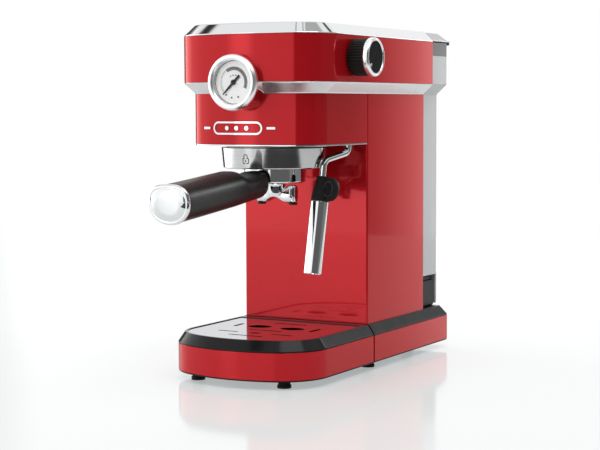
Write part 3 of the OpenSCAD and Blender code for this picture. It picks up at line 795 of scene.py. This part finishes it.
def knob_pointer():
    """A small bright mark that runs in from the ring, low and to the front."""
    along = Vector((0, cos(POINTER_TURN), sin(POINTER_TURN)))
    across = Vector((0, -sin(POINTER_TURN), cos(POINTER_TURN)))
    corners = ((POINTER_IN, -0.6), (POINTER_IN, 0.6), (POINTER_OUT, 1), (POINTER_OUT, -1))
    rings = []
    for x, w in ((3.5, 1.7), (5.0, 1.7), (5.4, 1.3)):
        start = Vector(KNOB_PLACE) + Vector((x, 0, 0))
        rings.append([tuple(start + along * r + across * side * w) for r, side in corners])
    return loft("knob_pointer", rings)


barrel = wear(knob_grip(), "matte_black", "steam_knob", "knob_body")
wear(knob_ring(), "chrome", "steam_knob", "knob_ring",
     finish=dull_chrome("knob chrome", 0.97, 0.22))
wear(knob_face(), "matte_black", "steam_knob", "knob_face", finish=flat_black())
wear(knob_pointer(), "chrome", "steam_knob")

# ---------------- group

GROUP_PLACE = (0, GROUP_Y, 0)
UPWARD = (0, 0, 1)
COLLAR_R = high("group_collar").x
COLLAR_TAPER = 1.7      # how much smaller the collar's radius is at its foot
COLLAR_WELL_R = 34.0
COLLAR_MOUTH_R = 30.2
COLLAR_FLOOR = 186.2
COLLAR_LOW = low("group_collar").z
COLLAR_TOP = high("group_collar").z


def collar_radius(z):
    return COLLAR_R - COLLAR_TAPER * (COLLAR_TOP - z) / (COLLAR_TOP - COLLAR_LOW)


def collar():
    profile = soften([
        (COLLAR_WELL_R, COLLAR_TOP), (COLLAR_WELL_R, COLLAR_FLOOR),
        (COLLAR_MOUTH_R, COLLAR_FLOOR), (COLLAR_MOUTH_R, COLLAR_LOW),
        (collar_radius(COLLAR_LOW) - 0.6, COLLAR_LOW),
        (collar_radius(COLLAR_LOW + 0.8), COLLAR_LOW + 0.8),
        (COLLAR_R, COLLAR_TOP - 0.4), (COLLAR_R - 0.4, COLLAR_TOP),
    ], 0.4, closed=True)
    return lathe("brew_collar", profile, GROUP_PLACE, UPWARD, closed=True, steps=160)


def on_collar(x, z, lift):
    """A point on the collar's front, x across from the middle."""
    r = collar_radius(z) + lift
    return (r * sin(x / COLLAR_R), GROUP_Y - r * cos(x / COLLAR_R), z)


def collar_ribbon(points, width, closed=False):
    """A thin printed line through points (x, z) on the collar."""
    count = len(points)
    rings = []
    for k, (x, z) in enumerate(points):
        before = Vector(points[k - 1] if closed or k else points[k])
        after = Vector(points[(k + 1) % count] if closed or k < count - 1 else points[k])
        along = (after - before).normalized()
        side = Vector((-along.y, along.x)) * width / 2
        a = (x + side.x, z + side.y)
        b = (x - side.x, z - side.y)
        rings.append([on_collar(*a, INK_TOP), on_collar(*b, INK_TOP),
                      on_collar(*b, INK_Z), on_collar(*a, INK_Z)])
    return loft("line", rings, closed_ends=closed)


LOCK_AT = (-1.9, 190.0)
LOCK_LINE = 0.75
SHACKLE_R = 1.8


def lock_line(points, width, closed=False):
    x0, z0 = LOCK_AT
    return collar_ribbon([(x0 + x, z0 + z) for x, z in points], width, closed)


def lock_mark():
    """A plain padlock sign, printed on the collar."""
    body = [(-2.9, -2.2), (2.9, -2.2), (2.9, 2.0), (-2.9, 2.0)]
    shackle = [(-SHACKLE_R, 2.0)]
    for i in range(9):
        a = pi * i / 8
        shackle.append((-SHACKLE_R * cos(a), 3.5 + SHACKLE_R * sin(a)))
    shackle.append((SHACKLE_R, 2.0))
    return join("collar_lock_mark", [
        lock_line(soften(body, 0.5, closed=True), LOCK_LINE, closed=True),
        lock_line(shackle, LOCK_LINE),
        lock_line([(0, 0.8), (0, -1.0)], 1.0),
    ])


wear(collar(), "steel", "machine", "group_collar",
     finish=brushed_steel("collar steel", (4, 4, 900), 0.58, (0.07, 0.12)))
wear(lock_mark(), "needle_black", "machine", finish=printed("collar print", 0.015))

# ---------------- filter holder

BOWL_R = 26.8
BOWL_Z = low("portafilter_bowl").z
HOLDER_RIM_R = 28.6
HOLDER_RIM_Z = 191.0
BASKET_R = 24.6
BOWL_FLOOR = 172.0
WING_R = high("portafilter_bowl").x
WING_HALF = radians(24)
SPOUT_X = 16.0          # from the middle to each outlet
SPOUT_HALF = high("spout").x
SPOUT_Y = GROUP_Y + 4
SPOUT_Z = low("spout").z
SPOUT_TOP = 162.5       # height of the bridge's top over its middle
ARCH_HALF = 11.0        # the bridge's underside rises within this much of the middle


def spout_top(x):
    return SPOUT_TOP + 2.6 * (1 - cos(pi * x / SPOUT_X))


def spout_low(x):
    if abs(x) < ARCH_HALF:
        return SPOUT_Z + 2.2 * (1 + cos(pi * x / ARCH_HALF))
    return SPOUT_Z


def oval(half_a, half_b, steps, power):
    """A rounded outline about the origin: power 2 is an ellipse, and more is squarer."""
    points = []
    for i in range(steps):
        a = 2 * pi * i / steps
        c = cos(a)
        s = sin(a)
        k = (abs(c) ** power + abs(s) ** power) ** (-1 / power)
        points.append((half_a * c * k, half_b * s * k))
    return points


def spout():
    """The bridge over both outlets, one section for each x."""
    rings = []
    stations = [-1.0, -0.985, -0.95, -0.9, -0.82]
    stations += [-0.82 + 1.64 * i / 28 for i in range(1, 29)]
    stations += [0.9, 0.95, 0.985, 1.0]
    for share in stations:
        x = SPOUT_HALF * share
        # the section shrinks over the last fifth of each half, to round the end off
        end = max((abs(share) - 0.8) / 0.2, 0)
        keep = sqrt(max(1 - (end * 0.93) ** 2, 0))
        half_y = 6.5 * keep
        half_z = (spout_top(x) - spout_low(x)) / 2 * (0.8 + 0.2 * keep)
        centre = (spout_top(x) + spout_low(x)) / 2
        rings.append([(x, SPOUT_Y + y, centre + z) for y, z in oval(half_y, half_z, 32, 3.2)])
    bridge = loft("bridge", rings, angle=60)
    neck = soften([(10.5, BOWL_Z), (9.2, BOWL_Z - 2), (8.6, 160), (8, 158)], 1.5)
    return join("twin_spout", [bridge, lathe("neck", neck, GROUP_PLACE, UPWARD, steps=64)])


def wing(turn):
    """One locking wing on the holder's rim, turn round from the right."""
    span = [WING_HALF * (i / 6 - 1) for i in range(13)]
    rings = []
    for r in (HOLDER_RIM_R - 0.4, WING_R - 0.7, WING_R):
        ring = []
        for z, angles in ((186.7, span), (190.3, reversed(span))):
            ring += [(r * cos(turn + a), GROUP_Y + r * sin(turn + a), z) for a in angles]
        rings.append(ring)
    return loft("wing", rings)


def bowl():
    """The holder's cup with its rim and two locking wings."""
    profile = soften([
        (4, BOWL_Z), (BOWL_R - 1.2, BOWL_Z), (BOWL_R, BOWL_Z + 1.2), (BOWL_R, 185.6),
        (HOLDER_RIM_R, 186.9), (HOLDER_RIM_R, HOLDER_RIM_Z), (BASKET_R, HOLDER_RIM_Z),
        (BASKET_R, BOWL_FLOOR), (4, BOWL_FLOOR),
    ], 0.5, closed=True)
    cup = lathe("cup", profile, GROUP_PLACE, UPWARD, closed=True, steps=128)
    return join("holder_cup", [cup, wing(0), wing(pi)])


HANDLE_Y = GROUP_Y - BOWL_R - 2.2       # where the handle's axis starts, at its root
HANDLE_Z = 169.5
HANDLE_TILT = radians(4.3)
HANDLE_STEPS = 48
ROWS_PER_SPAN = 4
# The grip and its cap, as sections: distance out from the root, half width, height above and
# depth below the axis. The grip is waisted near its root, swells, and then runs almost straight.
GRIP = [
    (0.0, 9.0, 8.4, 9.0), (0.8, 10.9, 10.4, 10.6), (3.0, 12.4, 11.8, 11.9),
    (8.0, 13.0, 12.3, 12.3), (14.0, 13.3, 12.2, 12.4), (20.0, 13.6, 11.2, 12.7),
    (26.0, 13.9, 10.2, 13.0), (31.0, 14.3, 10.0, 13.2), (37.0, 14.9, 12.0, 13.5),
    (43.0, 15.6, 15.2, 13.7), (48.0, 16.1, 16.6, 13.9), (56.0, 16.4, 16.6, 14.1),
    (75.0, 17.0, 16.3, 14.6), (100.0, 17.8, 15.8, 15.2), (122.0, 18.4, 15.5, 15.6),
    (133.2, 18.6, 15.3, 15.8), (133.9, 18.2, 15.0, 15.4),
]
CAP = [
    (133.9, 18.2, 15.0, 15.5), (134.1, 19.0, 15.7, 16.2), (134.6, 19.4, 16.0, 16.5),
    (136.0, 19.4, 16.0, 16.5), (137.0, 18.9, 15.5, 16.0), (137.5, 17.9, 14.5, 15.0),
    (137.6, 17.2, 13.8, 14.3), (137.2, 16.8, 13.4, 13.9), (137.2, 16.3, 12.9, 13.4),
    (137.7, 15.9, 12.5, 13.0), (138.0, 9.0, 7.2, 7.5), (138.0, 0.5, 0.4, 0.4),
]


def on_handle(s, x, z):
    """A point s out along the handle's axis, x across it and z above it."""
    return (x, HANDLE_Y - s * cos(HANDLE_TILT) - z * sin(HANDLE_TILT),
            HANDLE_Z - s * sin(HANDLE_TILT) + z * cos(HANDLE_TILT))


def handle_ring(s, half_w, up, down):
    """One section of the handle: broad shoulders on top, round below."""
    ring = []
    for i in range(HANDLE_STEPS):
        a = 2 * pi * i / HANDLE_STEPS
        c, d = cos(a), sin(a)
        power = 0.72 if d > 0 else 0.94
        side = half_w * (1 + 0.03 * d) * abs(c) ** power * (1 if c > 0 else -1)
        rise = (up if d > 0 else down) * abs(d) ** power * (1 if d > 0 else -1)
        ring.append(on_handle(s, side, rise))
    return ring


def smooth_rows(rows):
    """More rows between the given ones, on a smooth curve through them."""
    result = []
    for k in range(len(rows) - 1):
        p0 = Vector(rows[max(k - 1, 0)])
        p1 = Vector(rows[k])
        p2 = Vector(rows[k + 1])
        p3 = Vector(rows[min(k + 2, len(rows) - 1)])
        span = p2[0] - p1[0]
        m1 = (p2 - p0) / max(p2[0] - p0[0], 1e-6) * span
        m2 = (p3 - p1) / max(p3[0] - p1[0], 1e-6) * span
        for i in range(ROWS_PER_SPAN):
            t = i / ROWS_PER_SPAN
            row = (p1 * (2 * t ** 3 - 3 * t ** 2 + 1) + m1 * (t ** 3 - 2 * t ** 2 + t)
                   + p2 * (3 * t ** 2 - 2 * t ** 3) + m2 * (t ** 3 - t ** 2))
            result.append(tuple(row))
    result.append(tuple(rows[-1]))
    return result


def grip():
    return loft("handle_grip_shape", [handle_ring(*row) for row in smooth_rows(GRIP)], angle=60)


def cap():
    return loft("handle_bright_cap", [handle_ring(*row) for row in CAP], angle=60, flat=False)


def neck():
    profile = [(7.6, -1.5), (7.4, 0), (7.2, 1.6), (7.6, 3.2), (8.4, 4.0)]
    place = (0, HANDLE_Y - 0.5, HANDLE_Z + 2)
    return lathe("handle_bright_neck", profile, place, (0, 1, 0), steps=48)


wear(spout(), "chrome", "filter_holder", "spout")
wear(bowl(), "chrome", "filter_holder", "portafilter_bowl")
handle_grip = wear(grip(), "matte_black", "filter_holder", "handle_grip")
wear(cap(), "chrome", "filter_holder", "handle_cap")
wear(neck(), "chrome", "filter_holder", "handle_neck")

# ---------------- steam wand

# The pipe lies in one plane: down, out along a sloping arm, and down again along the lean.
WAND = Vector((high("wand_nut").x - 5, middle("wand_nut").y, 0))
SWING = radians(-12.5)  # turn of that plane about the wand's exit
LEAN = radians(9)
PIPE_R = 3.0
PIPE_TOP = 211.5
PIPE_SIDES = 32
BEND_STEPS = 14
SLEEVE_R = 7.8
SLEEVE_INNER = 6.25
DROP_Z = 200.5          # where the first bend starts
ARM_ANGLE = radians(79)
ARM_LEN = 22.5
BEND_IN = 6.0           # radius of the upper bend
BEND_OUT = 7.5          # radius of the lower bend
GRIP_TOP = 176.0
SLEEVE_TOP = 154.6
SLEEVE_LOW = low("wand_sleeve").z + 1.3
TAB_R = 10.4
TAB_X = 8.6             # from the pipe to the tab's middle
HOLLOW_X = 10.2         # and to the middle of its hollow


def heading(a):
    """The way down the pipe where it leans by a."""
    return Vector((0, -sin(a), -cos(a)))


def to_centre(a):
    """The way across it, to the centre of the upper bend."""
    return Vector((0, -cos(a), sin(a)))


BEND_IN_C = Vector((0, 0, DROP_Z)) + to_centre(0) * BEND_IN
ARM_START = BEND_IN_C - to_centre(ARM_ANGLE) * BEND_IN
ARM_END = ARM_START + heading(ARM_ANGLE) * ARM_LEN
BEND_OUT_C = ARM_END - to_centre(ARM_ANGLE) * BEND_OUT
LEAN_START = BEND_OUT_C + to_centre(LEAN) * BEND_OUT


def at_wand(p):
    return tuple(WAND + Matrix.Rotation(SWING, 3, "Z") @ Vector(p))


def down_to(z):
    """Length along the lean from its start down to a height."""
    return (LEAN_START.z - z) / cos(LEAN)


TAB_ALONG = (down_to(GRIP_TOP) + down_to(SLEEVE_TOP)) / 2 + 0.2


def on_lean(x, y, along):
    """A point beside the leaning part: along is measured down the pipe."""
    return at_wand(LEAN_START + heading(LEAN) * along + Vector((x, 0, 0)) + to_centre(LEAN) * y)


def pipe():
    stations = [(Vector((0, 0, PIPE_TOP)), 0), (Vector((0, 0, DROP_Z)), 0)]
    for i in range(1, BEND_STEPS + 1):
        a = ARM_ANGLE * i / BEND_STEPS
        stations.append((BEND_IN_C - to_centre(a) * BEND_IN, a))
    for i in range(BEND_STEPS + 1):
        a = ARM_ANGLE + (LEAN - ARM_ANGLE) * i / BEND_STEPS
        stations.append((BEND_OUT_C + to_centre(a) * BEND_OUT, a))
    stations.append((LEAN_START + heading(LEAN) * down_to(GRIP_TOP - 4), LEAN))
    rings = []
    for centre, a in stations:
        section = oval(PIPE_R, PIPE_R, PIPE_SIDES, 2)
        rings.append([at_wand(centre + Vector((x, 0, 0)) + to_centre(a) * y) for x, y in section])
    return loft("wand_bright_pipe", rings)


def lean_ring(along, r, steps=48):
    return [on_lean(x, y, along) for x, y in oval(r, r, steps, 2)]


def wand_grip():
    top = down_to(GRIP_TOP)
    bottom = down_to(SLEEVE_TOP)
    rows = [(top, 3.2), (top + 0.2, 4.2), (top + 1.0, 4.9), (top + 6, 5.6), (top + 13, 7.0),
            (bottom - 3, 7.9), (bottom - 0.8, 8.0), (bottom, 7.6), (bottom, 6.4)]
    cone = loft("cone", [lean_ring(s, r) for s, r in rows], angle=60)
    # the finger tab: a thick disc beside the pipe, with an oval hollow on each face
    half = [(-1.5, 0.0), (-1.5, 0.36), (-2.3, 0.44), (-2.7, 0.52), (-2.7, 0.9), (-2.2, 0.98)]
    rings = []
    for depth, share in half + [(0, 1.0)] + [(-depth, share) for depth, share in reversed(half)]:
        r = TAB_R * max(share, SMALLEST_R)
        shift = TAB_X if share > 0.6 else HOLLOW_X
        rings.append([on_lean(shift + x, depth, TAB_ALONG - z) for x, z in oval(r, r, 48, 2.25)])
    return join("wand_rubber_grip", [cone, loft("tab", rings, angle=60)])


def tab_rim():
    """The raised edge of the tab's hollow, on both faces."""
    rims = []
    for face in (-1, 1):
        rings = []
        for grow, depth in ((0, 2.4), (0.15, 3.0), (0.75, 3.0), (0.9, 2.4)):
            rings.append([on_lean(HOLLOW_X + x, face * depth, TAB_ALONG - z)
                          for x, z in oval(4.3 + grow, 6.0 + grow, 40, 2.1)])
        rims.append(loft("rim", rings, caps=False, angle=60))
    return join("wand_tab_rim", rims)


def sleeve():
    top = down_to(SLEEVE_TOP) + 0.3
    bottom = down_to(SLEEVE_LOW)
    rows = [(top, SLEEVE_INNER), (top, 7.5), (top + 0.4, SLEEVE_R), (bottom - 0.5, SLEEVE_R),
            (bottom, 7.4), (bottom, 6.6), (bottom - 0.6, SLEEVE_INNER)]
    rings = [lean_ring(s, r, 64) for s, r in rows]
    return loft("wand_bright_sleeve", rings, closed_ends=True)


wear(pipe(), "chrome", "wand", "wand_pipe")
rubber_grip = wear(wand_grip(), "rubber", "wand", "wand_grip")
# the rim's satin black is lighter than the rubber: a painted highlight along the hollow's raised
# edge
wear(tab_rim(), "rubber", "wand", finish=satin_black("rim with painted highlight", 0.045, (0.3, 0.36), 0.01))
wear(sleeve(), "chrome", "sleeve", "wand_sleeve")

# ---------------- water tank

TANK_FRONT = low("tank_body").y
TANK_REAR = high("tank_body").y
TANK_LOW_X = 60.0       # half width below the belt's level
TANK_HIGH_X = high("tank_body").x
TANK_LOW = low("tank_body").z
TANK_TOP = high("tank_body").z
TANK_CORNER = 5.0
LID_CORNER = 4.0
SEAT_TOP = high("tank_seat").z
WALL = 2.2


def tank_ring(half_w, t, z):
    loop = block_loop(half_w - t, TANK_FRONT + t, TANK_REAR - t, TANK_CORNER - t)
    return at_height(loop, z)


def tank():
    """An open box that is wider above the belt's level, with a skirt down its back."""
    narrow, wide = TANK_LOW_X, TANK_HIGH_X
    rows = [
        (narrow - 4, 0.5, SEAT_TOP + 0.3), (narrow, 0, SEAT_TOP + 0.9), (narrow, 0, BELT_Z - 0.6),
        (narrow + 0.3, 0, BELT_Z + 0.4), (wide - 0.3, 0, BELT_TOP - 0.5), (wide, 0, BELT_TOP + 0.5),
        (wide, 0, TANK_TOP - 0.3), (wide - 0.3, 0, TANK_TOP), (wide, WALL, TANK_TOP),
        (wide, WALL, BELT_TOP), (narrow, WALL, BELT_Z), (narrow, WALL, SEAT_TOP + 3),
        (narrow - 4, WALL + 3, SEAT_TOP + 2.5),
    ]
    box = loft("box", [tank_ring(*row) for row in rows])
    skirt = slab("skirt", (-narrow + 1, TANK_REAR - 3.2, TANK_LOW),
                 (narrow - 1, TANK_REAR - 0.1, SEAT_TOP + 3), 0.8)
    return join("tank_shell", [box, skirt])


def tank_lid():
    """A sloping cover with a lip behind it, curled down at its end."""
    z0 = TANK_TOP + 0.8
    rear = TANK_REAR + 0.5
    # half width, front, rear and height of each ring
    rows = [
        (TANK_HIGH_X - 2, TANK_FRONT + 1, rear - 2, z0),
        (TANK_HIGH_X, TANK_FRONT, rear, z0 + 0.2),
        (TANK_HIGH_X, TANK_FRONT, rear, z0 + 1.4),
        (TANK_HIGH_X - 5.6, TANK_FRONT, rear - 8.6, TOP_Z - 1.5),
        (TANK_HIGH_X - 6.3, TANK_FRONT + 0.4, rear - 9.4, TOP_Z - 1.0),
        (TANK_HIGH_X - 10, TANK_FRONT + 4, rear - 14, TOP_Z - 1.0),
    ]
    rings = [at_height(block_loop(half_w, front, back, LID_CORNER), z)
             for half_w, front, back, z in rows]
    top = loft("top", rings)
    lip_x = TANK_HIGH_X - 2
    lip_y = high("tank_lid").y
    lip = slab("lip", (-lip_x, rear - 2, z0), (lip_x, lip_y, z0 + 1.8), 0.7)
    curl = slab("curl", (-lip_x, lip_y - 2.4, low("tank_lid").z), (lip_x, lip_y, z0 + 1.8), 0.9)
    return join("tank_lid_shape", [top, lip, curl])


def tank_seat():
    x, y0, y1 = high("tank_seat").x, low("tank_seat").y, high("tank_seat").y
    lower = slab("lower", (-x, y0, DECK_Z), (x, y1, SEAT_TOP - 4.4), 1.6)
    upper = slab("upper", (-x + 2, y0 + 0.5, SEAT_TOP - 6), (x - 2, y1 - 2, SEAT_TOP), 2.2, 4)
    return join("tank_seat_shape", [lower, upper])


wear(tank(), "tank_clear", "tank", "tank_body")
wear(tank_lid(), "lid_silver", "lid", "tank_lid")
wear(tank_seat(), "matte_black", "machine", "tank_seat")

# ---------------- stage, light and camera

AIM = Vector((0, 0, 0.16))      # what the lamps point at, in metres


def flat_sheet(name, half_x, half_y, finish):
    corners = [(-half_x, -half_y, 0), (half_x, -half_y, 0), (half_x, half_y, 0),
               (-half_x, half_y, 0)]
    mesh = bpy.data.meshes.new(name)
    mesh.from_pydata(corners, [], [(0, 1, 2, 3)])
    mesh.materials.append(finish.material)
    plane = new_piece(name, mesh, flat=False)
    return plane


ground = Finish("pale floor", (0.42, 0.42, 0.42), rough=0.1)
ground.put("Specular IOR Level", 0.06)
ground.put("Emission Color", (0.95, 1, 1, 1))
ground.put("Emission Strength", 0.38)
flat_sheet("floor", 1.3, 1.3, ground)
# a dark card on the floor, seen only in the mirror of the bright pieces
card = flat_sheet("dark card", 0.6, 0.35, Finish("dark card", (0.01, 0.01, 0.01), rough=0.8))
card.location = (0.61, -0.61, 0.002)
card.rotation_euler = (0, 0, radians(45))
card.visible_camera = False
card.visible_diffuse = False
card.visible_shadow = False


def soft_light(name, azimuth, elevation, distance, size, power):
    """A lamp round the machine. Azimuth 0 is in front, 90 to the user's right."""
    a = radians(azimuth)
    e = radians(elevation)
    out = Vector((sin(a) * cos(e), -cos(a) * cos(e), sin(e)))
    data = bpy.data.lights.new(name, "AREA")
    data.shape = "RECTANGLE"
    data.size = size[0]
    data.size_y = size[1]
    data.energy = power
    lamp = bpy.data.objects.new(name, data)
    bpy.context.scene.collection.objects.link(lamp)
    lamp.location = AIM + out * distance
    lamp.rotation_euler = out.to_track_quat("Z", "Y").to_euler()
    lamp.visible_camera = False
    return lamp


soft_light("light_top", 60, 62, 2.2, (1.6, 1.2), 16)
# a streak of light along the black grips, and on nothing else
edge_light = soft_light("light_edge", 153, 14, 1.5, (0.3, 0.3), 6)
streaked = bpy.data.collections.new("lit by the edge light")
for piece in (handle_grip, rubber_grip, barrel):
    streaked.objects.link(piece)
edge_light.light_linking.receiver_collection = streaked

# How bright the studio's walls look from the machine, as (azimuth, brightness).
# Azimuth 0 is in front, 90 to the user's right.
WALLS = [
    (-180, 1.0), (-140, 1.2), (-138, 0.08), (-117, 0.08), (-115, 2.5), (-85, 2.2), (-62, 1.15),
    (-40, 1.15), (-33, 2.3), (-24, 2.3), (-18, 1.2), (11, 1.1), (15, 0.12), (84, 0.12), (92, 0.2),
    (154.3, 0.2), (156, 3.6), (157.6, 3.6), (159, 0.6), (178, 1.0),
]
# Overhead the room is even, but for the dark edges of a few lamps.
CEILING = [
    (-180, 0.95), (-112, 0.95), (-111.4, 0.03), (-108, 0.03), (-107.4, 0.95), (-86.5, 0.95),
    (-86.4, 0.03), (-85.8, 0.03), (-85.7, 0.95), (146, 0.95), (149, 0.5), (160, 0.45), (161, 0.95),
    (169, 0.95), (170.5, 0.03), (174, 0.03), (175.5, 0.95),
]


def studio():
    """A world lit by the walls and the ceiling. The camera itself sees plain white behind."""
    world = bpy.data.worlds.new("studio")
    world.use_nodes = True
    tree = world.node_tree
    tree.nodes.clear()

    def math(kind, a, b):
        node = new_node(tree, "ShaderNodeMath", {0: a, 1: b})
        node.operation = kind
        return node.outputs[0]

    way = tree.nodes.new("ShaderNodeTexCoord").outputs["Generated"]
    x, y, z = new_node(tree, "ShaderNodeSeparateXYZ", {0: way}).outputs
    azimuth = math("ARCTAN2", x, math("MULTIPLY", y, -1))
    share = math("ADD", math("DIVIDE", azimuth, 2 * pi), 0.5)

    def round_the_room(levels):
        """The brightness by azimuth, with the ramp's colours scaled to run up to 1."""
        scale = max(value for _, value in levels)
        node = new_node(tree, "ShaderNodeValToRGB", {"Fac": share})
        while len(node.color_ramp.elements) < len(levels):
            node.color_ramp.elements.new(0.5)
        for element, (degrees, value) in zip(node.color_ramp.elements, levels):
            element.position = degrees / 360 + 0.5
            element.color = (*grey(value / scale), 1)
        return math("MULTIPLY", node.outputs["Color"], scale)

    wall = round_the_room(WALLS)
    ceiling = round_the_room(CEILING)
    # overhead the walls give way to the ceiling
    above = new_node(tree, "ShaderNodeMapRange", {
        "Value": z, "From Min": 0.45, "From Max": 0.62}).outputs["Result"]
    glow = math("ADD", math("MULTIPLY", wall, math("SUBTRACT", 1, above)),
                math("MULTIPLY", above, ceiling))
    seen = tree.nodes.new("ShaderNodeLightPath").outputs["Is Camera Ray"]
    strength = math("ADD", math("MULTIPLY", glow, math("SUBTRACT", 1, seen)), seen)
    background = new_node(tree, "ShaderNodeBackground", {
        "Color": (1, 1, 1, 1), "Strength": strength})
    new_node(tree, "ShaderNodeOutputWorld", {"Surface": background.outputs[0]})
    bpy.context.scene.world = world


studio()
bpy.context.scene.view_settings.view_transform = "Standard"

# where the photo was taken from, in metres, millimetres of lens and degrees
CAMERA_AT = (0.6881, -1.2345, 0.2357)
LENS = 92.418
TURN = 29.551
LOOK_DOWN = 4.378
ROLL = -0.191

camera_data = bpy.data.cameras.new("camera")
camera_data.sensor_width = 36
camera_data.lens = LENS
camera_data.clip_start = 0.05
camera_data.clip_end = 50
camera = bpy.data.objects.new("camera", camera_data)
bpy.context.scene.collection.objects.link(camera)
camera.location = CAMERA_AT
turn = Matrix.Rotation(radians(TURN), 3, "Z")
tilt = Matrix.Rotation(radians(90 - LOOK_DOWN), 3, "X")
roll = Matrix.Rotation(radians(ROLL), 3, "Z")
camera.rotation_euler = (turn @ tilt @ roll).to_euler()
bpy.context.scene.camera = camera

bpy.context.view_layer.update()
